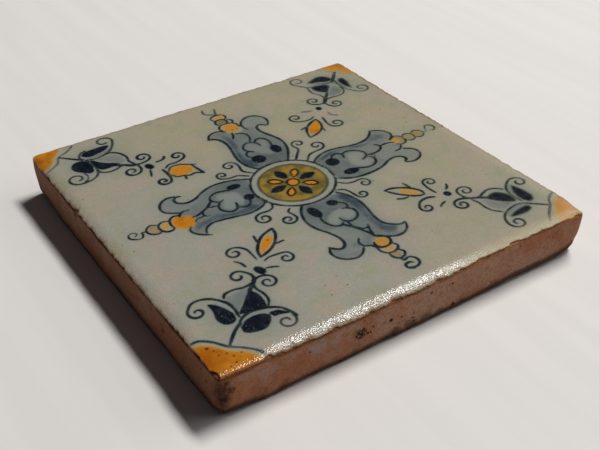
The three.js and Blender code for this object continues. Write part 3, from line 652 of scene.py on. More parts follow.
SPRAY_SOUTH_EAST = {
    "bud": [
        blob([(25.8, -23), (28, -23.4), (29.7, -26), (29.6, -28), (27.6, -28), (25.2, -26.4), (24.7, -25)],
            "ochre", 0.46),
        oval(27.3, -25.6, 2.6, 1.5, -40, "ink", 0.14),
        line([(21.5, -20.5), (24, -20.8), (27, -22.3), (29.5, -24.6), (31, -27.4), (30.8, -29.3)],
            width=0.9),
        line([(21.4, -20.5), (22.5, -22.8), (24.4, -25.5), (27, -28.1), (29, -29.2), (30.8, -29.5)],
            width=0.9),
        line([(29, -20.4), (29.4, -24.2)], ink=0.85),
        line([(21.7, -26.7), (23.6, -27.7), (25.2, -27.9)], ink=0.85),
    ],
    "scrolls": [
        scroll([(34.2, -31), (33.9, -28), (34.1, -25)], (36.7, -24.8), -1, 1.25),
        scroll([(32.4, -32.5), (30, -31.6), (27, -32), (25, -33.8)], (26.5, -35.9), 1, 1.15, width=0.9),
        line([(38, -31.3), (39.3, -30.2), (40.3, -28.6)], ink=0.85),
        line([(30.2, -37.9), (31.6, -37), (33.5, -36.3)], ink=0.8),
    ],
    "dot": [oval(36.8, -33.4, 1.2, 1.4)],
    "leaves": [
        scroll([(40.6, -39.2), (39.6, -36.6), (40.1, -34)], (42.6, -35.4), -1, 1.2, ink=0.85),
        scroll([(40.8, -39.6), (38, -38.1), (35.6, -38.3)], (36.6, -40.9), 1, 1.25, width=0.9),
        line([(39.4, -37.8), (40.8, -39.4), (42.8, -40.6), (46, -42.6)], width=1.2, ink=0.85),
        line([(41.6, -40.2), (44, -40.5), (46, -39.7), (48.7, -39), (51, -39.7), (53, -41.6)], width=0.85,
            ink=0.85),
        line([(40.7, -40.4), (41.4, -43), (41.3, -46), (42, -48.8), (44, -51)], ink=0.82),
        blob([(43, -42), (45, -43.6), (47, -46.4), (49.8, -48.6), (48.6, -49.8), (45, -50), (42.8, -47.6),
            (42.4, -44.4)], "wash", 0.55),
        blob([(45, -42.9), (47, -41.4), (49.5, -41.3), (51.5, -43), (52.5, -46), (51.8, -48.9), (50, -48.5),
            (47.5, -46.5), (46, -44.6)], strength=0.96, fade=0.9),
        blob([(53, -49.8), (53, -45), (54.2, -42), (56.6, -39.9), (57.2, -41), (55.2, -43.5), (54, -46.5),
            (54, -50)], "wash", 0.6),
        blob([(43.6, -52.6), (47, -51.2), (50.5, -50.8), (53.2, -51.6), (53.2, -52.8), (50, -52.2),
            (46.5, -52.9), (44, -54.4)], "wash", 0.6),
        blob([(56.8, -41.4), (57.5, -43), (58.2, -46.5), (58.1, -49.5), (56.5, -51.5), (55, -51.5),
            (53.8, -49.5), (53.8, -46.5), (55, -43.5)], strength=0.96, fade=0.9),
        scroll([(53, -50), (52.8, -45.4), (54, -42), (56.5, -39.6), (59, -38.4), (61, -38.9)],
            (60.2, -41.2), -1, 0.9, tight=0.4, ink=0.8),
        blob([(44, -54.4), (46.5, -53.1), (50, -52.4), (53, -52.7), (53, -54.4), (51, -55.4), (48, -55.5),
            (45, -55)], strength=0.96, fade=0.9),
        scroll([(53.2, -51.4), (50.5, -50.5), (47, -51), (44, -52.2), (41.8, -54.4), (40.9, -57.2)],
            (43.9, -57.7), 1, 1.15, tight=0.25, ink=0.82),
        line([(52.6, -51), (55.4, -53.6), (58.2, -56.2)], width=0.95, ink=0.82),
    ],
    "fan": [
        blob([(67, -53), (62, -54.6), (60, -56.3), (58.1, -58.6), (56.1, -60.7), (54.4, -63.4), (53.8, -69),
            (60, -70), (67, -69)], "ochre", 0.8, fade=2.4),
        line([(65.2, -51.6), (62.4, -52.8), (60.2, -54.7), (58.7, -56.6), (56.8, -58.2), (54.6, -60.2),
            (52.4, -62.8)], width=0.8, ink=0.62),
    ],
}

# Dark specks in the south-west fan's colour: place and radius
FAN_SPECKS = [
    (-61.6, -53.9, 0.42), (-60.5, -55.6, 0.2), (-58.1, -58.2, 0.22), (-57.2, -60.1, 0.28),
    (-54.8, -60.0, 0.2), (-59.7, -63.3, 0.3), (-53.8, -63.8, 0.28), (-60.2, -57.7, 0.2),
]
SPRAY_SOUTH_WEST["fan"] += [oval(x, y, r, r, strength=0.75) for x, y, r in FAN_SPECKS]

SPRAYS = {
    "south_west": SPRAY_SOUTH_WEST, "north_west": SPRAY_NORTH_WEST,
    "north_east": SPRAY_NORTH_EAST, "south_east": SPRAY_SOUTH_EAST,
}
PETALS = {"south": PETAL_SOUTH, "west": PETAL_WEST, "east": PETAL_EAST, "north": PETAL_NORTH}
BEADS = {"south": BEADS_SOUTH, "west": BEADS_WEST, "east": BEADS_EAST, "north": BEADS_NORTH}
SPRAY_SLOTS = {
    "bud": "orange", "scrolls": "dark_blue", "dot": "dark_blue", "leaves": "dark_blue", "fan": "orange",
}


def painted_parts():
    """Each painted piece: its name, the CAD node it replaces, the record's slot, and its marks."""
    rim = circle_line(*MEDALLION, RIM_RADIUS, width=0.85, ink=0.85)
    parts = [("field", "medallion_field", "yellow", rosette()), ("rim", "medallion_ring", "dark_blue", [rim])]
    for side, marks in PETALS.items():
        parts.append((f"petal_{side}_wash", f"petal_{side}", "wash_blue", marks))
    for side, marks in BEADS.items():
        parts.append((f"beads_{side}_glass", f"beads_{side}", "orange", marks))
    for corner, marks in TENDRILS.items():
        parts.append((f"tendrils_{corner}", None, "dark_blue", marks))
    for corner, spray in SPRAYS.items():
        for item, marks in spray.items():
            node = None if item == "scrolls" else f"{item}_{corner}"
            parts.append((f"painted_{item}_{corner}", node, SPRAY_SLOTS[item], marks))
    return parts


# How much pigment lies at a point

def segment_gap(points, path, half):
    """Distance from each point to the edge of a line, and the nearest segment's number."""
    best = np.full(len(points), 1e9)
    nearest = np.zeros(len(points), int)
    for k in range(len(path) - 1):
        a = path[k]
        d = path[k + 1] - a
        t = np.clip((points - a) @ d / max(d @ d, 1e-9), 0, 1)
        gap = np.hypot(*(points - a - t[:, None] * d).T) - (half[k] + t * (half[k + 1] - half[k]))
        closer = gap < best
        best[closer] = gap[closer]
        nearest[closer] = k
    return best, nearest


def enclosed(points, edges):
    """Which points the edges go round, by counting the edges crossed to their right."""
    odd = np.zeros(len(points), bool)
    x, y = points.T
    for (x1, y1), (x2, y2) in edges:
        if y1 != y2:
            crosses = (y1 > y) != (y2 > y)
            odd ^= crosses & (x < (x2 - x1) * (y - y1) / (y2 - y1) + x1)
    return odd


def inside(points, path):
    """Which points lie in a closed path."""
    return enclosed(points, zip(path, np.roll(path, -1, axis=0)))


def edge_gap(points, mark):
    """Signed distance to a mark's edge, negative inside, and the strength of its pigment there."""
    if mark["kind"] == "line":
        gap, nearest = segment_gap(points, mark["path"], mark["half"])
        return gap, mark["strength"][nearest]
    ring = np.vstack([mark["path"], mark["path"][:1]])
    gap, _ = segment_gap(points, ring, np.zeros(len(ring)))
    return np.where(inside(points, mark["path"]), -gap, gap), np.full(len(points), mark["strength"])


def ease(low, high, values):
    """A soft step from 0 to 1 for an array."""
    t = np.clip((values - low) / (high - low), 0, 1)
    return t * t * (3 - 2 * t)


def step_up(low, high, value):
    """A soft step from 0 to 1 for one number."""
    t = min(max((value - low) / (high - low), 0), 1)
    return t * t * (3 - 2 * t)


def near(points, mark, reach):
    """Numbers of the points in a mark's box, widened by a reach."""
    low = mark["path"].min(axis=0) - reach
    high = mark["path"].max(axis=0) + reach
    return np.nonzero(np.all((points > low) & (points < high), axis=1))[0]


def pigments(points, marks):
    """Amounts of ink, wash, ochre, olive and haze at each point, each from 0 to 1."""
    amount = {name: np.zeros(len(points)) for name in ("ink", "wash", "ochre", "olive", "haze")}
    for mark in marks:
        at = near(points, mark, HAZE_REACH + 1)
        if not len(at):
            continue
        gap, strength = edge_gap(points[at], mark)
        soft_in, soft_out = mark["soft"]
        cover = 1 - ease(-soft_in, soft_out, gap)
        name = mark["pigment"]
        if name == "glaze":
            amount["wash"][at] *= 1 - mark["strength"] * cover
        elif name == "wash":
            amount["wash"][at] += (mark["strength"] - amount["wash"][at]) * cover
        else:
            amount[name][at] = np.maximum(amount[name][at], strength * cover)
        if name in ("ink", "wash"):
            haze = (1 - ease(0, HAZE_REACH, gap)) * np.minimum(strength, 1)
            amount["haze"][at] = np.maximum(amount["haze"][at], haze)
    out = np.hypot(*(points - np.add(MEDALLION, PATTERN_SHIFT)).T)
    amount["wash"] *= WASH_FAR + (1 - WASH_FAR) * (1 - ease(WASH_FULL_TO, WASH_THIN_FROM, out))
    return amount


def blue_around(marks):
    """How much of the face is blue round each place, on a blurred grid of one-millimetre cells."""
    steps = np.arange(-GRID_HALF, GRID_HALF + 1)
    centres = np.stack(np.meshgrid(steps, steps, indexing="ij"), axis=-1).reshape(-1, 2).astype(float)
    cover = np.zeros(len(centres))
    for mark in marks:
        if mark["pigment"] not in ("ink", "wash"):
            continue
        if mark["kind"] == "line":
            for place, half, strength in zip(mark["path"], mark["half"], mark["strength"]):
                i, j = np.clip(np.round(place).astype(int) + GRID_HALF, 0, 2 * GRID_HALF)
                cover[i * len(steps) + j] += 2 * half * STEP * strength
        else:
            at = near(centres, mark, 0)
            at = at[inside(centres[at], mark["path"])]
            weight = WASH_CAST if mark["pigment"] == "wash" else 1
            cover[at] = np.maximum(cover[at], mark["strength"] * weight)
    kernel = np.exp(-steps ** 2 / (2 * CAST_BLUR ** 2))
    kernel /= kernel.sum()
    grid = np.minimum(cover, 1).reshape(len(steps), len(steps))
    for axis in (0, 1):
        grid = np.apply_along_axis(np.convolve, axis, grid, kernel, "same")
    return grid


def blue_cast(points, grid):
    """The blurred blue at points between the grid's cells."""
    places = np.clip(points + GRID_HALF, 0, 2 * GRID_HALF - 0.001)
    i, j = places.astype(int).T
    u, v = (places - places.astype(int)).T
    low = grid[i, j] * (1 - v) + grid[i, j + 1] * v
    high = grid[i + 1, j] * (1 - v) + grid[i + 1, j + 1] * v
    return np.minimum((low * (1 - u) + high * u) * CAST_GAIN, 1)


# The tile's surfaces, in millimetres

# How round the corners stay further in: a share of the distance in, and the most that they do
BLEND_SHARE = 0.8
BLEND_MOST = 2.5


def lumps(x, y, size, layer):
    """Noise from about -1 to 1 whose lumps are about size across; each layer has its own."""
    return noise.noise(Vector((x / size, y / size, layer)))


def inset_at(x, y):
    """Distance in from the slab's nominal outline, with its corners rounded off further in as well."""
    corner = ("south" if y < 0 else "north") + ("_west" if x < 0 else "_east")
    r = CORNER_RADII[corner]
    u = HALF_X - abs(x)
    v = HALF_Y - abs(y)
    if u < r and v < r:
        return r - math.hypot(r - u, r - v)
    least = min(u, v)
    blend = min(max((least - r) * BLEND_SHARE, 0.01), BLEND_MOST)
    overlap = max(blend - abs(u - v), 0) / blend
    return least - overlap * overlap * blend / 4


def side_value(values, x, y):
    """A value that each side has of its own, blended across the corners."""
    lead = (HALF_Y - abs(y)) - (HALF_X - abs(x))
    share = step_up(-CORNER_BLEND, CORNER_BLEND, lead)
    return values["east" if x > 0 else "west"] * share + values["north" if y > 0 else "south"] * (1 - share)


def flatter_edge(x, y):
    """From 0 in the middle of the south side to 1 at its flatter, worn east end."""
    return step_up(FLATTER_FROM, FLATTER_TO, x) if y < 0 else 0


def fan_corner(x, y):
    """From 1 at the south-west corner to 0 some way along its sides."""
    return 1 - step_up(FAN_CORNER_FROM, FAN_CORNER_TO, math.dist((x, y), (-HALF_X, -HALF_Y)))


def edge_drop(x, y):
    """How far the rolled edge lies below the face."""
    worn = WORN_DROP * (1 - step_up(WORN_FROM, WORN_TO, math.hypot(HALF_X - x, HALF_Y + y)))
    flatter = FLATTER_SHARE * flatter_edge(x, y)
    return side_value(EDGE_DROPS, x, y) * (1 - flatter - FAN_CORNER_SHARE * fan_corner(x, y)) + worn


def wave(x, y):
    """Slow unevenness of the hand-made face."""
    return 0.05 * lumps(x, y, 24, 1.7) + 0.018 * lumps(x, y, 7, 4.2)


def shoulder(x, y):
    """How far in the edge starts to roll down."""
    return SHOULDER - FAN_CORNER_NARROWER * fan_corner(x, y)


def glaze_height(x, y):
    """The face, which bends down ever more steeply over the shoulder."""
    width = shoulder(x, y)
    u = min(max((width - inset_at(x, y)) / (width - LIP), 0), 1.1)
    return FACE - FACE_CLEARANCE - edge_drop(x, y) * u ** ROLL + wave(x, y) * (1 - 0.6 * u)


def under_height(x, y):
    """The clay's face under the glaze."""
    width = shoulder(x, y)
    u = min(max((width - inset_at(x, y)) / (width - BARE_EDGE), 0), 1)
    return CLAY_TOP - max(edge_drop(x, y) - LESS_DROP, LEAST_DROP) * u ** ROLL


def glaze_normal(x, y):
    """The direction that the face looks in."""
    h = 0.15
    dx = (glaze_height(x + h, y) - glaze_height(x - h, y)) / (2 * h)
    dy = (glaze_height(x, y + h) - glaze_height(x, y - h)) / (2 * h)
    return Vector((-dx, -dy, 1)).normalized()


# The outline and what happens along it

OUTLINE_COUNT = 760
LEAST_RADIUS = 0.9


def corner_point(corner, angle, inset):
    """A place on a rounded corner of the outline, when the outline is moved in."""
    sx, sy = CORNER_SIGNS[corner]
    r = CORNER_RADII[corner]
    inner = max(r - inset, LEAST_RADIUS)
    x = sx * (HALF_X - inset - inner) + inner * math.cos(angle)
    y = sy * (HALF_Y - inset - inner) + inner * math.sin(angle)
    return x, y


def outline_runs():
    """Corners and sides in turn, anticlockwise: length, corner before and after, first and last angle."""
    corners = list(CORNER_SIGNS)
    runs = []
    for k, corner in enumerate(corners):
        start = math.pi * (1 + k / 2)
        end = start + math.pi / 2
        after = corners[(k + 1) % 4]
        runs.append((CORNER_RADII[corner] * math.pi, corner, corner, start, end))
        side = math.dist(corner_point(corner, end, 0), corner_point(after, end, 0))
        runs.append((side, corner, after, end, end))
    return runs


def outline_spots(count):
    """Spots round the outline: the corners before and after, the share of the run, and the outward angle."""
    runs = outline_runs()
    total = sum(run[0] for run in runs)
    spots = []
    for k in range(count):
        s = total * k / count
        part = 0
        while s > runs[part][0]:
            s -= runs[part][0]
            part += 1
        length, before, after, first, last = runs[part]
        share = s / length
        spots.append((before, after, share, first + (last - first) * share))
    return spots


def set_in(spot, inset):
    """The place of a spot on the outline when it is moved in."""
    before, after, share, angle = spot
    ax, ay = corner_point(before, angle, inset)
    if before == after:
        return ax, ay
    bx, by = corner_point(after, angle, inset)
    return ax + (bx - ax) * share, ay + (by - ay) * share


def facing(spot, side):
    """How squarely the outline faces a side of the tile at a spot."""
    turn = {"south": -math.pi / 2, "east": 0, "north": math.pi / 2, "west": math.pi}[side]
    return math.cos(spot[3] - turn)


def along_side(spot, side, place):
    """How far a spot lies past a place along a side."""
    x, y = set_in(spot, 0)
    return (y if side in ("west", "east") else x) - place


def add_bells(value, spot, bells, power):
    """Adds to a value each bell on a spot's side: side, place along it, length, and amount at its middle."""
    for side, place, length, amount in bells:
        if facing(spot, side) > 0.5:
            value += amount * math.exp(-(2 * along_side(spot, side, place) / length) ** power)
    return value


ROUND = outline_spots(OUTLINE_COUNT)

# Chips along the glaze's edge: side, place along it, length, and how far in they bite
CHIPS = [
    ("west", 26.6, 3.2, 0.8), ("west", 33.0, 9.0, 0.25), ("west", -45.0, 6.0, 0.3),
    ("west", -65.0, 5.0, 0.8), ("south", -46.5, 2.6, 0.3), ("south", -50.0, 2.0, 0.35),
    ("south", -29.0, 1.6, 0.4), ("south", -17.5, 2.2, 0.45), ("south", -9.0, 4.0, 0.4),
    ("south", 6.0, 1.8, 0.35), ("south", 22.0, 3.0, 0.4), ("south", 36.0, 4.0, 0.6),
    ("south", 47.0, 4.0, 0.2), ("south", 55.0, 6.0, 0.2), ("south", 61.5, 3.0, 0.2),
    ("east", -61.0, 6.0, 0.15), ("east", -30.0, 3.0, 0.2), ("east", 25.0, 2.5, 0.2),
    ("east", 46.0, 4.0, 0.2), ("north", 0.0, 3.5, 0.4), ("north", 38.0, 5.0, 0.5),
]

# Where the glaze hangs over the edge: side, place along it, length, and how far down
DRIPS = [
    ("south", -59.0, 15.0, 0.65), ("south", -44.0, 8.0, 0.3), ("south", -16.0, 9.0, 0.25),
    ("west", 30.0, 16.0, 0.2), ("west", -22.0, 20.0, 0.25), ("east", -12.0, 22.0, 0.4),
    ("north", 24.0, 18.0, 0.4), ("north", -34.0, 14.0, 0.4),
]

# Where the foot is worn round: side, place along it, length, and extra radius
WORN_FEET = [
    ("south", -14.0, 7.0, 0.6), ("south", 44.0, 26.0, 0.9), ("south", 62.0, 12.0, 1.8),
    ("east", -60.0, 14.0, 2.0), ("west", -30.0, 20.0, 0.5), ("west", -63.0, 8.0, 1.2),
    ("south", -62.0, 16.0, 1.0), ("north", 20.0, 40.0, 0.6), ("east", 30.0, 24.0, 1.0),
    ("west", 60.0, 18.0, 1.8),
]

# Pits in the clay's sides: side, place along it, height, radius, and depth
PITS = [
    ("south", -55.0, 6.0, 1.3, 0.7), ("south", -52.0, 4.2, 0.9, 0.6), ("south", -49.5, 5.6, 0.7, 0.6),
    ("south", -46.0, 3.2, 1.2, 0.8), ("south", -43.0, 5.0, 0.6, 0.5), ("south", -24.0, 7.8, 0.6, 0.5),
    ("south", -9.0, 3.0, 1.0, 0.7), ("south", -5.0, 3.6, 0.8, 0.7), ("south", 12.0, 9.0, 0.6, 0.4),
    ("south", 30.0, 4.0, 1.1, 0.6), ("south", 49.0, 8.0, 0.9, 0.5), ("west", -40.0, 6.0, 1.0, 0.6),
    ("west", -18.0, 9.0, 0.8, 0.5), ("west", 10.0, 5.0, 1.2, 0.6), ("west", 34.0, 8.0, 0.7, 0.5),
    ("east", -42.0, 6.0, 1.1, 0.6), ("east", 5.0, 8.0, 0.8, 0.5), ("east", 38.0, 4.5, 1.0, 0.6),
    ("north", -44.0, 7.0, 0.9, 0.5), ("north", 0.0, 5.0, 1.2, 0.7), ("north", 33.0, 9.0, 0.8, 0.5),
]

# How far the foot's corners are worn in, and over what distance
CORNER_WEAR = {"south_west": 1.0, "south_east": 1.1, "north_east": 0.7, "north_west": 0.4}
CORNER_WEAR_REACH = 3.2


def edge_bite(spot):
    """How far in from the outline the glaze ends."""
    x, y = set_in(spot, 0)
    wander = lumps(x, y, 9, 2.2) * 0.26 + lumps(x, y, 2.6, 8.1) * 0.3
    bite = LIP - 0.2 + wander + 0.3 * lumps(x, y, 1.1, 1.4)
    if facing(spot, "south") > 0.5:
        bite += 0.15 * flatter_edge(x, y)
    return max(add_bells(bite, spot, CHIPS, 4), 0.02)


def lip_hang(spot):
    """How far the glaze runs down over the edge."""
    x, y = set_in(spot, 0)
    hang = 0.06 + 0.2 * lumps(x, y, 5, 3.7) + 0.12 * lumps(x, y, 1.6, 0.7)
    return max(add_bells(hang, spot, DRIPS, 2), 0.03)


def foot_radius(spot):
    """How round the foot is worn."""
    x, y = set_in(spot, 0)
    return add_bells(FOOT_ARRIS * (1 + 0.6 * lumps(x, y, 11, 5.5)), spot, WORN_FEET, 2)


def side_dent(spot, z):
    """How far the clay's side lies in from its plain slope at a height."""
    p = Vector((*set_in(spot, 0), z))
    dent = 0.22 * noise.noise(p / 13) + 0.13 * noise.noise(p / 4.2) + 0.07 * noise.noise(p / 1.5) + 0.05
    for side, place, height, radius, depth in PITS:
        if facing(spot, side) > 0.7:
            along = along_side(spot, side, place)
            dent += depth * math.exp(-((along * along * 0.6 + (z - height) ** 2) / radius ** 2))
    return dent


def corner_wear(spot):
    """How far in the foot is worn at a corner."""
    wear = 0
    for corner, depth in CORNER_WEAR.items():
        sx, sy = CORNER_SIGNS[corner]
        gap = math.dist(set_in(spot, 0), (sx * HALF_X, sy * HALF_Y))
        wear += depth * math.exp(-(gap / CORNER_WEAR_REACH) ** 2)
    return wear


BITES = [edge_bite(spot) for spot in ROUND]
HANGS = [lip_hang(spot) for spot in ROUND]
ROUND_PLACES = np.array([set_in(spot, 0) for spot in ROUND])
# Distances in from the glaze's ragged edge between which its burnt strip and its grainy rim fade
BURN_FADES = (0.2, 2.0)
RIM_FADES = (1.4, 6.0)
# Points further in than this from the outline don't feel how ragged the edge is
BITE_REACH = 7


def from_edge(points):
    """Distance in from the glaze's own ragged edge."""
    insets = np.array([inset_at(x, y) for x, y in points])
    out = insets.copy()
    for k in np.nonzero(insets < BITE_REACH)[0]:
        nearest = np.argmin(np.sum((ROUND_PLACES - points[k]) ** 2, axis=1))
        out[k] -= BITES[nearest]
    return out


def edge_marks(points):
    """Burnt brown where the glaze runs thin, and the grainy rim, each from 0 to 1."""
    gap = from_edge(points)
    rim = 1 - ease(*RIM_FADES, gap)
    matt = np.array([flatter_edge(x, y) for x, y in points])
    burnt = np.array([side_value(EDGE_BURNS, x, y) for x, y in points])
    burn = burnt * (1 - ease(*BURN_FADES, gap)) * (1 - 0.3 * matt)
    return {"burn": burn, "rim": rim, "matt": rim * matt}


# Meshes

def make_object(name, verts, faces, material):
    mesh = bpy.data.meshes.new(name)
    mesh.from_pydata([(x * MM, y * MM, z * MM) for x, y, z in verts], [], faces)
    mesh.update()
    for polygon in mesh.polygons:
        polygon.use_smooth = True
    obj = bpy.data.objects.new(name, mesh)
    bpy.context.scene.collection.objects.link(obj)
    mesh.materials.append(material)
    return obj


def store_amounts(obj, amount):
    """Keeps named amounts on an object's vertices, for its material to read."""
    for name, values in amount.items():
        layer = obj.data.attributes.new(name, 'FLOAT', 'POINT')
        layer.data.foreach_set("value", np.asarray(values, dtype=np.float32))


def triangulate(points, edges=()):
    """Delaunay triangles: the points, the triangles that use them, and where each point came from."""
    verts, _, faces, origin, _, _ = geometry.delaunay_2d_cdt(
        [Vector((float(x), float(y))) for x, y in points], list(edges), [], 0, 1e-5, True)
    return np.array([(v.x, v.y) for v in verts]), faces, origin


def grid_in(low, high, step):
    """A square grid of points from low up to high."""
    columns = np.arange(low[0], high[0], step)
    rows = np.arange(low[1], high[1], step)
    return np.stack(np.meshgrid(columns, rows), axis=-1).reshape(-1, 2)


def thin_out(points, spacing):
    """Drops each point that lies closer than the spacing to one kept before it."""
    kept = []
    cells = {}
    for p in points:
        cx = int(math.floor(p[0] / spacing))
        cy = int(math.floor(p[1] / spacing))
        around = [q for i in (-1, 0, 1) for j in (-1, 0, 1) for q in cells.get((cx + i, cy + j), ())]
        if all((p[0] - q[0]) ** 2 + (p[1] - q[1]) ** 2 >= spacing * spacing for q in around):
            kept.append(p)
            cells.setdefault((cx, cy), []).append(p)
    return np.array(kept)


def unit(vectors):
    return vectors / np.maximum(np.hypot(*vectors.T), 1e-9)[:, None]


def line_points(path, half):
    """Points that carry a line's profile: its middle, its edges, its margin, and its two ends."""
    along = unit(np.gradient(path, axis=0))
    across = np.stack([-along[:, 1], along[:, 0]], axis=1)
    points = [path]
    for reach in (-SOFT_IN, SOFT_OUT, MARGIN):
        for side in (-1, 1):
            points.append(path + across * side * (half[:, None] + reach))
    for end, way in ((0, -1), (-1, 1)):
        points.append(path[[end]] + along[end] * way * (half[end] + SOFT_OUT))
    return np.vstack(points)


def fill_points(path):
    """Points along a filled shape's edge and margin, and in staggered rows inside it."""
    along = unit(np.gradient(np.vstack([path[-1:], path, path[:1]]), axis=0)[1:-1])
    outward = np.stack([along[:, 1], -along[:, 0]], axis=1)
    x, y = path.T
    area = np.sum(x * np.roll(y, -1) - y * np.roll(x, -1))
    outward *= 1 if area > 0 else -1
    points = [path + outward * reach for reach in (-SOFT_IN * 2, SOFT_OUT * 1.4, MARGIN)]
    grid = grid_in(path.min(axis=0), path.max(axis=0), FILL_STEP)
    grid[:, 0] += FILL_STEP / 2 * (np.round(grid[:, 1] / FILL_STEP) % 2)
    points.append(grid[inside(grid, path)])
    return np.vstack(points)


def mark_points(mark):
    if mark["kind"] == "line":
        return line_points(mark["path"], mark["half"])
    return fill_points(mark["path"])


def cover_gap(points, marks):
    """Distance from each point to the nearest edge of the marks, negative inside."""
    gap = np.full(len(points), 1e9)
    for mark in marks:
        at = near(points, mark, MARGIN * 2)
        if len(at):
            gap[at] = np.minimum(gap[at], edge_gap(points[at], mark)[0])
    return gap


def rim_points(marks):
    """Points in rows along the glaze's edge where the marks reach it."""
    places = np.array([set_in(spot, bite + row) for spot, bite in zip(ROUND, BITES) for row in RIM_ROWS])
    return places[cover_gap(places, marks) < MARGIN]


def skin_sheet(marks):
    """A flat sheet over the marks: its points, its triangles, and the edges of its rim."""
    points = np.vstack([mark_points(mark) for mark in marks])
    points = points[from_edge(points) > POINTS_FROM]
    points = thin_out(np.vstack([rim_points(marks), points]), CLOSEST)
    flat, faces, _ = triangulate(points)
    corners = np.array(faces)
    middle = flat[corners].mean(axis=1)
    sides = [np.hypot(*(flat[corners[:, i]] - flat[corners[:, (i + 1) % 3]]).T) for i in range(3)]
    wanted = (cover_gap(middle, marks) < MARGIN * MARGIN_SHARE) & (from_edge(middle) > MIDDLES_FROM)
    corners = corners[wanted & (np.max(sides, axis=0) < LONGEST_SIDE)]
    used = np.unique(corners)
    number = {int(v): k for k, v in enumerate(used)}
    top = [tuple(number[int(v)] for v in face) for face in corners]
    edges = {(a, b) for face in top for a, b in zip(face, face[1:] + face[:1])}
    return flat[used], top, sorted((a, b) for a, b in edges if (b, a) not in edges)


def underside(verts, flat, rim, heights):
    """Closes a skin from below with triangles between its rim vertices only."""
    names = sorted({v for edge in rim for v in edge})
    order = {v: k for k, v in enumerate(names)}
    start = len(verts)
    for v in names:
        verts.append((flat[v][0], flat[v][1], heights[v] - SKIN_DEPTH))
    places, faces, origin = triangulate(flat[names], [(order[a], order[b]) for a, b in rim])
    middles = places[np.array(faces)].mean(axis=1)
    wanted = enclosed(middles, [(flat[a], flat[b]) for a, b in rim])
    below = [tuple(start + origin[v][0] for v in reversed(face)) for face, keep in zip(faces, wanted) if keep]
    walls = [(b, a, start + order[a], start + order[b]) for a, b in rim]
    return below + walls, names


def paint_piece(name, marks, everything, blue, material):
    """A thin closed skin of colour that lies on the glaze and dips into it at its rim."""
    flat, top, rim = skin_sheet(marks)
    rim_verts = {v for edge in rim for v in edge}
    heights = [glaze_height(x, y) for x, y in flat]
    verts = [(x, y, heights[k] + (-SINK if k in rim_verts else LIFT)) for k, (x, y) in enumerate(flat)]
    below, names = underside(verts, flat, rim, heights)
    obj = make_object(name, verts, top + below, material)
    amount = {**pigments(flat, everything), **edge_marks(flat), "cast": blue_cast(flat, blue)}
    store_amounts(obj, {key: np.concatenate([v, v[names]]) for key, v in amount.items()})
    normals = [glaze_normal(x, y) for x, y in flat]
    obj.data.normals_split_custom_set_from_vertices(normals + [-normals[v] for v in names])
    return obj


def ring_faces(count, rows):
    """Faces between rows of vertices, each row a closed ring."""
    faces = []
    for row in range(rows - 1):
        for k in range(count):
            a = row * count + k
            b = row * count + (k + 1) % count
            faces.append((a, b, b + count, a + count))
    return faces


def cap(verts, ring, spacing, height, up):
    """Closes a ring of vertices with a triangulated sheet whose inner points follow height(x, y)."""
    count = len(ring)
    loop = np.array([verts[k][:2] for k in ring])
    grid = grid_in(loop.min(axis=0) + spacing / 2, loop.max(axis=0), spacing)
    clear = inside(grid, loop)
    gap, _ = segment_gap(grid, np.vstack([loop, loop[:1]]), np.zeros(count + 1))
    grid = grid[clear & (gap > spacing * 0.45)]
    points, faces, origin = triangulate(np.vstack([loop, grid]), [(k, (k + 1) % count) for k in range(count)])
    index = {}
    for k, (first, *_) in enumerate(origin):
        if first < count:
            index[k] = ring[first]
        else:
            x, y = points[k]
            index[k] = len(verts)
            verts.append((x, y, height(x, y)))
    middles = points[np.array(faces)].mean(axis=1)
    out = []
    for face, within in zip(faces, inside(middles, loop)):
        if within:
            a, b, c = (index[k] for k in face)
            out.append((a, b, c) if up else (c, b, a))
    return out


# Rows up round the glaze's lip: how far in, share of the glaze's thickness, share of its hang, and burn
LIP_ROWS = [
    (0.5, -0.1, 1.0, 1.1), (0.05, 0.0, 1.0, 1.0), (-0.03, 0.2, 0.6, 0.86), (-0.01, 0.6, 0.15, 0.74),
    (0.08, 0.9, 0.0, 0.66),
]
# Rows further in, at the full thickness
GLAZE_ROWS = [0.25, 0.6, 1.0, 1.5, 2.1, 2.8, 3.6, 4.6]
# Spacing of the points on the face, on the bed face and on the hidden faces between clay and glaze
FACE_STEP = 2.2
BED_STEP = 2.6
HIDDEN_STEP = 9.0
# How far the clay's hidden top, the glaze's lip and the glaze's hidden bottom lie under the face that
# they share, and how far the clay stays off the ground
CLAY_SINK = 0.03
LIP_SINK = 0.03
BOTTOM_SINK = 0.08
GROUND_GAP = 0.03


def glaze_bottom(x, y):
    return under_height(x, y) - BOTTOM_SINK


def glaze_amounts(verts, everything, blue):
    """What the glaze's vertices carry: burn round the lip, and the painting's colours and blue cast."""
    count = len(ROUND)
    flat = np.array([(v[0], v[1]) for v in verts])
    amount = edge_marks(flat)
    sides = np.array([side_value(EDGE_BURNS, x, y) for x, y in flat])
    for k, (_, _, _, burn) in enumerate(LIP_ROWS):
        row = slice(k * count, (k + 1) * count)
        amount["burn"][row] = burn * sides[row] / EDGE_BURNS["south"]
    on_lip = np.arange(len(verts)) < (len(LIP_ROWS) + 1) * count
    for key, values in pigments(flat, everything).items():
        amount[key] = np.where(on_lip, values, 0)
    amount["cast"] = blue_cast(flat, blue)
    return amount


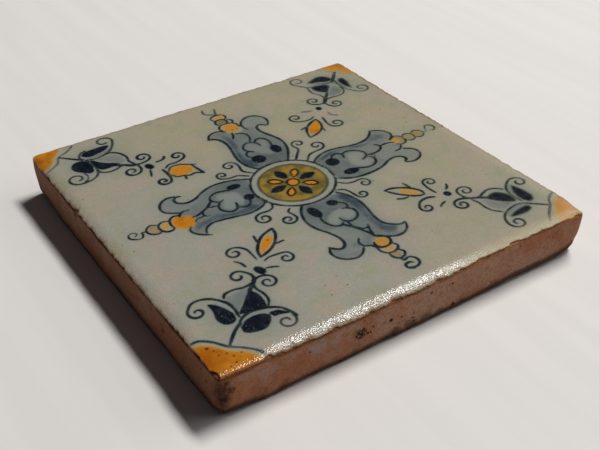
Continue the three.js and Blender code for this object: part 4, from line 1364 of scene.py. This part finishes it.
def glaze_piece(material, everything, blue):
    """The glaze as one closed skin: its lip, its rolled edge, its face, and the face towards the clay."""
    count = len(ROUND)
    verts = []
    for row, share, hang_share, _ in LIP_ROWS:
        for spot, bite, hang in zip(ROUND, BITES, HANGS):
            x, y = set_in(spot, bite + row)
            low = under_height(x, y) - LIP_SINK
            verts.append((x, y, low + (glaze_height(x, y) - low) * share - hang * hang_share))
    for row in GLAZE_ROWS:
        for spot, bite in zip(ROUND, BITES):
            x, y = set_in(spot, bite + row)
            verts.append((x, y, glaze_height(x, y)))
    rows = len(LIP_ROWS) + len(GLAZE_ROWS)
    faces = ring_faces(count, rows)
    last = [(rows - 1) * count + k for k in range(count)]
    faces += cap(verts, last, FACE_STEP, glaze_height, True)
    faces += cap(verts, list(range(count)), HIDDEN_STEP, glaze_bottom, False)
    obj = make_object("glaze_skin", verts, faces, material)
    store_amounts(obj, glaze_amounts(verts, everything, blue))
    return obj


# The clay: rows in from the outline on its top, rows down its side, and steps round its foot
TOP_INSETS = [SHOULDER + 1.2, 3.4, 2.4, 1.7, 1.2, 0.8]
SIDE_ROWS = 15
FOOT_ROWS = 4
# How far the side tucks in under the lip, how far below it the scorch fades, and how high the foot's dirt and
# painted shade rise
TUCK = 0.1
SCORCH_DEPTH = 1.1
DIRT_AND_SHADE_HEIGHT = 2.4


def clay_top():
    """Vertices under the glaze, each with its scorch, and its share of dirt and painted shade at the foot."""
    out = []
    for inset in TOP_INSETS:
        for spot in ROUND:
            x, y = set_in(spot, inset)
            rough = 0.06 * lumps(x, y, 1.3, 3.3)
            z = under_height(x, y) - CLAY_SINK + rough * max(0, 1 - inset / 2)
            out.append(((x, y, z), 0.8, 0))
    return out


def clay_sides(feet):
    """Vertices down the bare sides, each with its scorch, and its share of dirt and painted shade at the
    foot.
    """
    out = []
    for row in range(SIDE_ROWS):
        for spot, foot, bite, hang in zip(ROUND, feet, BITES, HANGS):
            top = under_height(*set_in(spot, BARE_EDGE)) - TUCK
            below = top - hang - TUCK
            z = top if row == 0 else below + (foot - below) * (row - 1) / (SIDE_ROWS - 2)
            inset = side_value(UNDERCUTS, *set_in(spot, 0)) * (top - z) / top + side_dent(spot, z)
            if row == 0:
                inset = max(inset + TUCK, min(bite + TUCK, 0.6))
            inset += corner_wear(spot) * step_up(top, 0, z)
            scorch = min(1, max(0, 1 - (below - z) / SCORCH_DEPTH))
            # The share near the foot that takes both dirt and painted shade
            dirt_and_shade = min(1, max(0, (foot + DIRT_AND_SHADE_HEIGHT - z) / DIRT_AND_SHADE_HEIGHT))
            out.append(((*set_in(spot, inset), z), scorch, dirt_and_shade))
    return out


def clay_foot(feet):
    """Vertices round the foot, each with its scorch, and its share of dirt and painted shade at the foot."""
    out = []
    for step in range(1, FOOT_ROWS + 1):
        angle = math.pi / 2 * step / FOOT_ROWS
        for spot, foot in zip(ROUND, feet):
            z = foot * (1 - math.sin(angle)) + GROUND_GAP
            inset = side_value(UNDERCUTS, *set_in(spot, 0))
            inset += side_dent(spot, z) * (1 - 0.5 * step / FOOT_ROWS)
            inset += foot * (1 - math.cos(angle)) + corner_wear(spot)
            out.append(((*set_in(spot, inset), z), 0, 1))
    return out


def bed_height(x, y):
    """The rough bed face: shallow hollows between points that touch the ground."""
    hollow = 0.35 * max(0, 0.35 + lumps(x, y, 12, 6.6))
    return GROUND_GAP + hollow + 0.12 * abs(lumps(x, y, 3, 9.9))


def clay_piece(material):
    """The slab, closed on top under the glaze and below by the bed face."""
    count = len(ROUND)
    feet = [foot_radius(spot) for spot in ROUND]
    verts, scorch, dirt_and_shade = map(list, zip(*(clay_top() + clay_sides(feet) + clay_foot(feet))))
    rows = len(verts) // count
    last = [(rows - 1) * count + k for k in range(count)]
    faces = [tuple(reversed(face)) for face in ring_faces(count, rows)]
    faces += cap(verts, list(range(count)), HIDDEN_STEP, under_height, True)
    faces += cap(verts, last, BED_STEP, bed_height, False)
    obj = make_object("clay_slab", verts, faces, material)
    rest = len(verts) - len(scorch)
    store_amounts(obj, {"burn": scorch + [0] * rest, "foot": dirt_and_shade + [0.4] * rest})
    return obj


# Materials

def srgb(r, g, b):
    """Linear colour from the 0 to 255 values that a screen shows."""
    out = []
    for c in (r, g, b):
        c /= 255
        out.append(c / 12.92 if c <= 0.04045 else ((c + 0.055) / 1.055) ** 2.4)
    return (*out, 1.0)


class Nodes:
    """Short ways to add and join shader nodes. Sizes and places are in millimetres."""

    def __init__(self, name):
        self.material = bpy.data.materials.new(name)
        self.material.use_nodes = True
        self.tree = self.material.node_tree
        self.tree.nodes.clear()
        out = self.add("ShaderNodeOutputMaterial")
        self.shader = self.add("ShaderNodeBsdfPrincipled")
        self.link(self.shader.outputs["BSDF"], out.inputs["Surface"])
        self.place = self.add("ShaderNodeTexCoord").outputs["Object"]

    def add(self, kind):
        return self.tree.nodes.new(kind)

    def link(self, source, target):
        """Joins a socket to an input, or sets the input to a number or a tuple."""
        if isinstance(source, (int, float, tuple)):
            target.default_value = source
        else:
            self.tree.links.new(source, target)

    def set(self, node, **values):
        """Links or sets a node's inputs by name, with spaces written as underscores."""
        for name, value in values.items():
            self.link(value, node.inputs[name.replace("_", " ")])

    def attribute(self, name):
        node = self.add("ShaderNodeAttribute")
        node.attribute_name = name
        return node.outputs["Fac"]

    def vector(self, operation, value):
        """The place on the object, combined with a fixed vector."""
        node = self.add("ShaderNodeVectorMath")
        node.operation = operation
        self.link(self.place, node.inputs[0])
        self.link(value, node.inputs[1])
        return node

    def scaled(self, size, stretch):
        return self.vector('MULTIPLY', tuple(s / (size * MM) for s in stretch)).outputs[0]

    def noise(self, size, detail=2.0, rough=0.5, stretch=(1, 1, 1), distort=0.0):
        """Noise whose lumps are about size across."""
        node = self.add("ShaderNodeTexNoise")
        self.set(node, Vector=self.scaled(size, stretch), Scale=1.0)
        self.set(node, Detail=detail, Roughness=rough, Distortion=distort)
        return node.outputs["Fac"]

    def cells(self, size):
        """Distance to the nearest of scattered points that lie about size apart."""
        node = self.add("ShaderNodeTexVoronoi")
        self.set(node, Vector=self.scaled(size, (1, 1, 1)), Scale=1.0)
        return node.outputs["Distance"]

    def near_point(self, point, radius):
        """1 at a point, falling to 0 at the radius."""
        away = self.vector('DISTANCE', tuple(c * MM for c in point)).outputs["Value"]
        return self.ramp(away, radius * 0.35 * MM, radius * MM, 1.0, 0.0)

    def ramp(self, value, low, high, start=0.0, end=1.0):
        """A soft step from start to end as the value goes from low to high."""
        node = self.add("ShaderNodeMapRange")
        node.interpolation_type = 'SMOOTHSTEP'
        self.set(node, Value=value, From_Min=low, From_Max=high, To_Min=start, To_Max=end)
        return node.outputs["Result"]

    def along(self, axis, low, high, start=0.0, end=1.0):
        """A soft step from start to end between two places along X or Y."""
        node = self.add("ShaderNodeSeparateXYZ")
        self.link(self.place, node.inputs[0])
        return self.ramp(node.outputs[axis], low * MM, high * MM, start, end)

    def math(self, operation, a, b):
        node = self.add("ShaderNodeMath")
        node.operation = operation
        self.link(a, node.inputs[0])
        self.link(b, node.inputs[1])
        return node.outputs[0]

    def plus(self, a, b):
        return self.math('ADD', a, b)

    def minus(self, a, b):
        return self.math('SUBTRACT', a, b)

    def times(self, a, b):
        return self.math('MULTIPLY', a, b)

    def most(self, a, b):
        return self.math('MAXIMUM', a, b)

    def ruffled(self, value, noise, amount):
        """A value made uneven by noise, which is 0.5 on average."""
        return self.plus(value, self.times(self.minus(noise, 0.5), amount))

    def mix(self, factor, a, b):
        node = self.add("ShaderNodeMix")
        node.data_type = 'RGBA'
        self.set(node, Factor=factor, A=a, B=b)
        return node.outputs["Result"]

    def bump(self, height, distance, strength=1.0, under=None):
        node = self.add("ShaderNodeBump")
        self.set(node, Height=height, Distance=distance * MM, Strength=strength)
        if under is not None:
            self.set(node, Normal=under)
        return node.outputs["Normal"]

    def finish(self, colour, rough, normal, specular):
        self.set(self.shader, Base_Color=colour, Roughness=rough, Normal=normal)
        self.shader.inputs["Specular IOR Level"].default_value = specular
        return self.material


# Colours of the glaze: its clouds, its haze and cast round the painting, and its edge
GLAZE_COOL = srgb(161, 158, 144)
GLAZE_WARM = srgb(169, 158, 126)
GLAZE_OLIVE = srgb(156, 154, 124)
GLAZE_PINK = srgb(176, 157, 142)
GRAIN_TINT = srgb(146, 151, 142)
HALO_TINT = srgb(124, 132, 130)
CAST_TINT = srgb(116, 128, 124)
SPECK = srgb(58, 42, 30)
BURNT = srgb(112, 66, 36)
EDGE_TAN = srgb(142, 116, 78)
EDGE_YELLOW = srgb(166, 150, 112)
# Colours of the pigments
INK = srgb(8, 14, 27)
INK_BLUE = srgb(36, 48, 62)
INK_THIN = srgb(42, 54, 51)
INK_OLIVE = srgb(62, 68, 44)
INK_WORN = srgb(96, 104, 100)
WASH_DEEP = srgb(53, 67, 77)
WASH_PALE = srgb(75, 87, 92)
OCHRE_DEEP = srgb(160, 88, 10)
OCHRE_LIGHT = srgb(190, 124, 32)
OCHRE_PALE = srgb(172, 146, 80)
OCHRE_SPECK = srgb(44, 25, 8)
OLIVE_DEEP = srgb(98, 82, 32)
OLIVE_LIGHT = srgb(146, 118, 38)
GLAZE_SPECULAR = 0.38


def clouded_glaze(n, grain):
    """The bare glaze: warmer to the north-east, with olive and pink clouds and a fine grain."""
    east = n.along("X", -60, 50, 0.0, 0.45)
    north = n.along("Y", -30, 60, 0.0, 0.4)
    north_east = n.plus(east, north)
    warm = n.plus(north_east, n.times(n.noise(42), 0.7))
    colour = n.mix(n.ramp(warm, 0.45, 1.05), GLAZE_COOL, GLAZE_WARM)
    olive = n.plus(n.noise(12, 3.0, 0.6), n.times(north_east, 0.06))
    colour = n.mix(n.ramp(olive, 0.48, 0.64, 0.0, 0.8), colour, GLAZE_OLIVE)
    pink = n.noise(9, 3.0, 0.6, stretch=(1, 1.1, 1))
    colour = n.mix(n.ramp(pink, 0.46, 0.6, 0.0, 0.6), colour, GLAZE_PINK)
    colour = n.mix(n.ramp(grain, 0.3, 0.7, 0.0, 0.5), colour, GRAIN_TINT)
    dusty = n.noise(0.5, 2.0, 0.6, stretch=(1, 1.3, 1))
    return n.mix(n.ramp(dusty, 0.3, 0.75, 0.0, 0.14), colour, SPECK)


def blue_halo(n, colour):
    """The blue that has run out of the painting, and dark specks."""
    colour = n.mix(n.times(n.attribute("cast"), 0.8), colour, CAST_TINT)
    colour = n.mix(n.times(n.attribute("haze"), 0.45), colour, HALO_TINT)
    specks = n.ramp(n.cells(4.2), 0.05, 0.09, 1.0, 0.0)
    specks = n.times(specks, n.ramp(n.noise(11, 1.0), 0.46, 0.58))
    return n.mix(n.times(specks, 0.7), colour, SPECK)


def blue_wash(n, colour):
    """The thin blue wash, with brush streaks."""
    brush = n.noise(1.5, 3.0, 0.6, stretch=(1, 1, 0.3), distort=0.4)
    wash = n.times(n.attribute("wash"), n.ramp(brush, 0.2, 0.8, 0.8, 1.05))
    return n.mix(wash, colour, n.mix(n.ramp(n.noise(5), 0.35, 0.65), WASH_DEEP, WASH_PALE))


def yellows(n, colour):
    """The olive yellow, and the ochre with its pale margin and dark pits, deepest in the far west."""
    olive = n.mix(n.ramp(n.noise(4, 3.0), 0.35, 0.65), OLIVE_DEEP, OLIVE_LIGHT)
    colour = n.mix(n.attribute("olive"), colour, olive)
    golden = n.plus(n.noise(9, 3.0, 0.6), n.along("X", -63, -46, -0.03, 0.14))
    ochre = n.mix(n.ramp(golden, 0.35, 0.65), OCHRE_DEEP, OCHRE_LIGHT)
    pits = n.times(n.ramp(n.cells(2.4), 0.1, 0.19, 1.0, 0.0), n.ramp(n.noise(5, 1.0), 0.42, 0.54))
    ochre = n.mix(n.times(pits, 0.85), ochre, OCHRE_SPECK)
    colour = n.mix(n.ramp(n.attribute("ochre"), 0.0, 0.4, 0.0, 0.8), colour, OCHRE_PALE)
    return n.mix(n.ramp(n.attribute("ochre"), 0.2, 0.8), colour, ochre)


def dark_ink(n, colour):
    """The dark blue: greener to the east where thin, streaked and worn, and brown over ochre."""
    depth = n.ruffled(n.attribute("ink"), n.noise(0.7), 0.35)
    thin = n.mix(n.along("X", 5, 55, 0.0, 0.75), INK_THIN, INK_OLIVE)
    thin = n.mix(n.attribute("olive"), thin, INK_OLIVE)
    ink = n.mix(n.ramp(depth, 0.6, 1.0), thin, INK)
    streaks = n.noise(1.7, 3.0, 0.65, stretch=(1, 0.5, 1))
    ink = n.mix(n.ramp(streaks, 0.47, 0.68, 0.0, 0.5), ink, INK_BLUE)
    flecks = n.ramp(n.noise(0.42, 1.0, stretch=(1, 0.6, 1)), 0.62, 0.74, 0.0, 0.75)
    ink = n.mix(n.times(flecks, n.ramp(n.noise(4, 1.0), 0.46, 0.6)), ink, INK_WORN)
    ink = n.mix(n.attribute("ochre"), ink, OCHRE_SPECK)
    return n.mix(n.ramp(depth, 0.05, 0.84), colour, ink)


def edge_colour(n, colour, worn):
    """Yellow on the matt south edge, tan and then burnt brown where the glaze runs thin."""
    yellow = n.times(n.attribute("matt"), n.along("Y", -62, -52, 0.5, 0.06))
    colour = n.mix(yellow, colour, EDGE_YELLOW)
    colour = n.mix(n.ramp(worn, 0.3, 0.8, 0.0, 0.8), colour, EDGE_TAN)
    return n.mix(n.ramp(worn, 0.66, 0.95), colour, BURNT)


def glaze_bumps(n, grain, rim):
    """Slow and fine unevenness, and the grainy rim, which is smoother under ochre."""
    normal = n.bump(n.noise(3.2), 0.05)
    normal = n.bump(grain, 0.014, under=normal)
    grainy = n.times(rim, n.ramp(n.attribute("ochre"), 0.2, 0.8, 1.0, 0.72))
    normal = n.bump(n.times(n.noise(0.5, 1.0), grainy), 0.155, under=normal)
    return n.bump(n.times(n.noise(1.4, 2.0, 0.6), rim), 0.07, under=normal)


def glaze_roughness(n, rim, worn):
    """Glossy on the face, duller where the edge is matt or burnt."""
    rough = n.ramp(n.noise(5, 3.0, 0.6), 0.3, 0.8, 0.2, 0.32)
    rough = n.plus(rough, n.times(n.attribute("matt"), 0.28))
    rough = n.minus(rough, n.times(rim, 0.09))
    return n.plus(rough, n.ramp(worn, 0.5, 0.85, 0.0, 0.3))


def painted_glaze(name):
    """Tin glaze with the pigments that the vertices carry fired into it."""
    n = Nodes(name)
    rim = n.attribute("rim")
    grain = n.noise(0.9, 3.0, 0.65)
    worn = n.ruffled(n.attribute("burn"), n.noise(1.5, 4.0, 0.75), 1.5)
    worn = n.minus(worn, n.times(n.attribute("ochre"), 0.45))
    colour = clouded_glaze(n, grain)
    for layer in (blue_halo, blue_wash, yellows, dark_ink):
        colour = layer(n, colour)
    colour = edge_colour(n, colour, worn)
    return n.finish(colour, glaze_roughness(n, rim, worn), glaze_bumps(n, grain, rim), GLAZE_SPECULAR)


CLAY_PINK = srgb(180, 136, 110)
CLAY_RED = srgb(170, 110, 78)
CLAY_BROWN = srgb(108, 76, 58)
CLAY_SLIP = srgb(164, 146, 134)
CLAY_DIRT = srgb(92, 78, 58)
CLAY_STAIN = srgb(74, 40, 22)
# Painted shade: the near-black colour put in the clay's pits
CLAY_PIT_SHADE = srgb(24, 17, 13)
SCORCHED = srgb(142, 88, 48)
CHARRED = srgb(92, 56, 34)
# Colour of the painted shade and dirt along the foot
FOOT_DIRT_AND_SHADE = srgb(68, 46, 34)
DULL_SPECULAR = 0.2
SOUTH_FACE = -65.6


def on_south(*spots):
    """Places on the south side with their radii, from places along X, heights and radii."""
    return [((x, SOUTH_FACE, z), radius) for x, z, radius in spots]


# Pits, painted dark as the shade inside them, the larger of them ragged
CLAY_HOLES = on_south(
    (-20.7, 7.7, 2.6), (-10.4, 7.5, 1.0), (-18.3, 6.6, 0.6), (-2.4, 4.6, 0.6), (-21.5, 8.3, 0.8),
    (-20.3, 7.2, 0.75), (-19.7, 8.8, 0.7), (-21.0, 6.3, 0.55), (-22.2, 7.2, 0.5), (-18.9, 7.6, 0.45),
    (-2.2, 6.2, 0.5), (-64.0, 6.6, 1.9), (-61.4, 9.2, 1.6), (12.7, 2.4, 0.75), (37.8, 13.0, 0.75),
    (4.0, 10.6, 0.7),
) + [((-64.9, -65.4, 9.6), 2.3), ((-65.3, 27.0, 12.4), 1.6), ((-65.3, -34.0, 8.0), 1.2)]
RAGGED_FROM = 1.5
# The porous, stained south-west corner
STAINS = on_south((-64.8, 8.4, 5.0), (-64.4, 5.4, 3.8), (-63.6, 11.8, 3.2))
# Smears of pale slip and grey-green dirt
SLIP_PATCHES = on_south(
    (-34.6, 10.6, 4.6), (-29.0, 11.2, 4.4), (-23.0, 9.4, 4.2), (-52.0, 11.4, 3.6), (-15.0, 9.3, 2.6),
)
DIRT_PATCHES = on_south((-8.0, 1.2, 3.2), (-3.0, 1.6, 3.6), (2.6, 1.6, 3.6), (7.5, 1.4, 2.6))


def fired_clay(n, grain):
    """Pink and red-brown clay, redder to the west, mottled with brown."""
    pinker = n.plus(n.noise(17, 3.0, 0.55), n.along("X", -45, 0, -0.1, 0.05))
    colour = n.mix(n.ramp(pinker, 0.38, 0.62), CLAY_RED, CLAY_PINK)
    colour = n.mix(n.ramp(grain, 0.4, 0.75, 0.0, 0.6), colour, CLAY_BROWN)
    mottle = n.noise(3.0, 4.0, 0.72, stretch=(1, 1, 1.4))
    return n.mix(n.ramp(mottle, 0.5, 0.68, 0.0, 0.4), colour, CLAY_BROWN)


def smeared(n, colour):
    """Pale slip, grey-green dirt near the foot, and pale grit."""
    slip = n.times(n.ramp(n.noise(11, 6.0, 0.75, stretch=(1, 1, 1.4)), 0.5, 0.66), 0.42)
    smears = n.ramp(n.noise(3.5, 4.0, 0.7), 0.38, 0.56, 0.1, 0.75)
    for place, radius in SLIP_PATCHES:
        slip = n.most(slip, n.times(n.near_point(place, radius), smears))
    colour = n.mix(slip, colour, CLAY_SLIP)
    dirt_and_shade = n.times(n.attribute("foot"), n.ramp(n.noise(14, 4.0, 0.7), 0.42, 0.62))
    for place, radius in DIRT_PATCHES:
        dirt_and_shade = n.most(dirt_and_shade, n.times(n.near_point(place, radius), 0.8))
    colour = n.mix(dirt_and_shade, colour, CLAY_DIRT)
    return n.mix(n.ramp(n.noise(0.55, 2.0, 0.6), 0.56, 0.74, 0.0, 0.4), colour, CLAY_PINK)


def clay_pits_and_shade(n):
    """Scattered small pits and the listed holes: a mask that dents them and paints them dark as their shade.
    """
    pits = n.times(n.ramp(n.cells(2.3), 0.1, 0.2, 1.0, 0.0), n.ramp(n.noise(6), 0.54, 0.62))
    ragged = n.ramp(n.noise(0.7, 4.0, 0.8), 0.47, 0.56)
    for place, radius in CLAY_HOLES:
        hole = n.near_point(place, radius)
        pits = n.most(pits, n.times(hole, ragged) if radius > RAGGED_FROM else hole)
    return pits


def stained(n, colour):
    blotches = n.ramp(n.noise(1.3, 4.0, 0.8), 0.32, 0.54, 0.25, 0.95)
    for place, radius in STAINS:
        colour = n.mix(n.times(n.near_point(place, radius), blotches), colour, CLAY_STAIN)
    return colour


def scorched(n, colour):
    """Scorching under the glaze's lip, stronger to the west."""
    scorch = n.ruffled(n.attribute("burn"), n.noise(3, 4.0, 0.7), 1.4)
    scorch = n.minus(scorch, n.along("X", -30, 40, 0.0, 0.3))
    colour = n.mix(n.ramp(scorch, 0.15, 0.6, 0.0, 0.9), colour, SCORCHED)
    return n.mix(n.ramp(scorch, 0.72, 1.05, 0.0, 0.8), colour, CHARRED)


def shaded_foot_and_west_side(n, colour):
    """Painted shade, partly dirt: the foot darkened towards the ground, more at the south side's east end;
    and the west side, turned from the key light, painted browner as shade.
    """
    low = n.ruffled(n.attribute("foot"), n.noise(6, 4.0, 0.7), 0.8)
    # Painted shade: the foot band is made darker towards the south side's east end
    south = n.along("Y", -64.5, -62, 1.0, 0.0)
    low = n.plus(low, n.times(n.along("X", 0, 40, 0.0, 0.22), south))
    # Painted shade, partly dirt: the clay darkens towards the foot
    colour = n.mix(n.ramp(low, 0.25, 1.0, 0.0, 0.9), colour, FOOT_DIRT_AND_SHADE)
    # Painted shade: the west side, which faces away from the key light, is made browner
    return n.mix(n.along("X", -64.8, -62.5, 0.4, 0.0), colour, CLAY_BROWN)


def terracotta():
    """Bare fired clay: pink and red-brown, with pale slip smears, pits painted dark as their shade, painted
    shade at the foot and on the west side, and coarse grain.
    """
    n = Nodes("terracotta")
    grain = n.noise(0.9, 4.0, 0.7)
    pits = clay_pits_and_shade(n)
    colour = stained(n, smeared(n, fired_clay(n, grain)))
    # Painted shade: the pits are coloured near black for the shade inside them
    colour = n.mix(pits, colour, CLAY_PIT_SHADE)
    colour = shaded_foot_and_west_side(n, scorched(n, colour))
    normal = n.bump(n.noise(2.6, 4.0, 0.65), 0.5, 0.8)
    normal = n.bump(grain, 0.4, under=normal)
    normal = n.bump(n.times(pits, -1.0), 0.4, under=normal)
    return n.finish(colour, n.ramp(grain, 0.3, 0.7, 0.8, 0.96), normal, DULL_SPECULAR)


FLOOR_COLOUR = srgb(227, 224, 222)
FLOOR_STREAK = srgb(212, 210, 208)


def paper():
    """The floor's pale sheet, with faint long streaks and a few crumbs."""
    n = Nodes("paper")
    streak = n.noise(9, stretch=(1, 0.06, 1))
    colour = n.mix(n.ramp(streak, 0.3, 0.7, 0.0, 0.25), FLOOR_COLOUR, FLOOR_STREAK)
    colour = n.mix(n.ramp(n.cells(34), 0.006, 0.012, 0.7, 0.0), colour, SPECK)
    return n.finish(colour, 0.7, n.bump(n.noise(0.6, 3.0), 0.03, 0.4), DULL_SPECULAR)


# The stage

FLOOR_HALF = 2600
CAMERA_PLACE = (-136.67, -217.87, 176.8)
CAMERA_AIM = (-11.81, -22.31, 15.38)
CAMERA_ROLL = -1.37
CAMERA_LENS = 55.65
CAMERA_SENSOR = 36.0
CAMERA_NEAREST = 0.01
LAMP_AIM = (0, 0, 8)
LAMP_COLOUR = (1.0, 0.985, 0.96)
KEY_DIRECTION = (0.504, 0.088, 0.85)
KEY_DISTANCE = 2400
KEY_SIZES = (1080, 456)
KEY_POWER = 53.8
FILL_DIRECTION = (0.8, -0.3, 0.52)
FILL_DISTANCE = 4800
FILL_SIZES = (4160, 4160)
FILL_POWER = 55.3
WORLD_COLOUR = (1.0, 0.96, 1.0, 1.0)
WORLD_STRENGTH = 0.039


def look_at(obj, place, aim, roll=0.0):
    """Puts a lamp or a camera at a place and turns it to an aim."""
    place = Vector(place) * MM
    aim = Vector(aim) * MM
    turn = (aim - place).to_track_quat('-Z', 'Y').to_matrix().to_4x4()
    obj.matrix_world = Matrix.Translation(place) @ turn @ Matrix.Rotation(math.radians(roll), 4, 'Z')


def floor():
    s = FLOOR_HALF
    verts = [(-s, -s, 0), (s, -s, 0), (s, s, 0), (-s, s, 0)]
    make_object("floor_sheet", verts, [(0, 1, 2, 3)], paper())


def area_light(name, direction, distance, sizes, power):
    """A round or oval light some way off the tile; of its two sizes the first is level."""
    data = bpy.data.lights.new(name, 'AREA')
    data.shape = 'ELLIPSE'
    data.size = sizes[0] * MM
    data.size_y = sizes[1] * MM
    data.energy = power
    data.color = LAMP_COLOUR
    obj = bpy.data.objects.new(name, data)
    bpy.context.scene.collection.objects.link(obj)
    look_at(obj, [a + distance * d for a, d in zip(LAMP_AIM, direction)], LAMP_AIM)


def room():
    """The faint light from all around."""
    world = bpy.data.worlds.new("room")
    world.use_nodes = True
    background = world.node_tree.nodes["Background"]
    background.inputs["Color"].default_value = WORLD_COLOUR
    background.inputs["Strength"].default_value = WORLD_STRENGTH
    bpy.context.scene.world = world


def camera():
    data = bpy.data.cameras.new("camera")
    data.lens = CAMERA_LENS
    data.sensor_width = CAMERA_SENSOR
    data.clip_start = CAMERA_NEAREST
    obj = bpy.data.objects.new("camera", data)
    bpy.context.scene.collection.objects.link(obj)
    look_at(obj, CAMERA_PLACE, CAMERA_AIM, CAMERA_ROLL)
    bpy.context.scene.camera = obj
    bpy.context.scene.view_settings.view_transform = 'Standard'


# Assembly

def dress():
    """Builds each piece, parents it to the body it rides, hides the CAD node it replaces, and gives it the
    material of its slot.
    """
    parts = painted_parts()
    everything = [mark for _, _, _, marks in parts for mark in marks]
    blue = blue_around(everything)
    slots = ("glaze", "wash_blue", "dark_blue", "orange", "yellow")
    materials = {slot: painted_glaze(f"painted_{slot}") for slot in slots}
    clay = clay_piece(terracotta())
    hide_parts("clay_body")
    glaze = glaze_piece(materials["glaze"], everything, blue)
    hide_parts("glaze_coat")
    pieces = [clay, glaze]
    for name, node, slot, marks in parts:
        piece = paint_piece(name, marks, everything, blue, materials[slot])
        if node:
            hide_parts(node)
        pieces.append(piece)
    for piece in pieces:
        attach(piece, BODY)


dress()
floor()
area_light("key", KEY_DIRECTION, KEY_DISTANCE, KEY_SIZES, KEY_POWER)
area_light("fill", FILL_DIRECTION, FILL_DISTANCE, FILL_SIZES, FILL_POWER)
room()
camera()
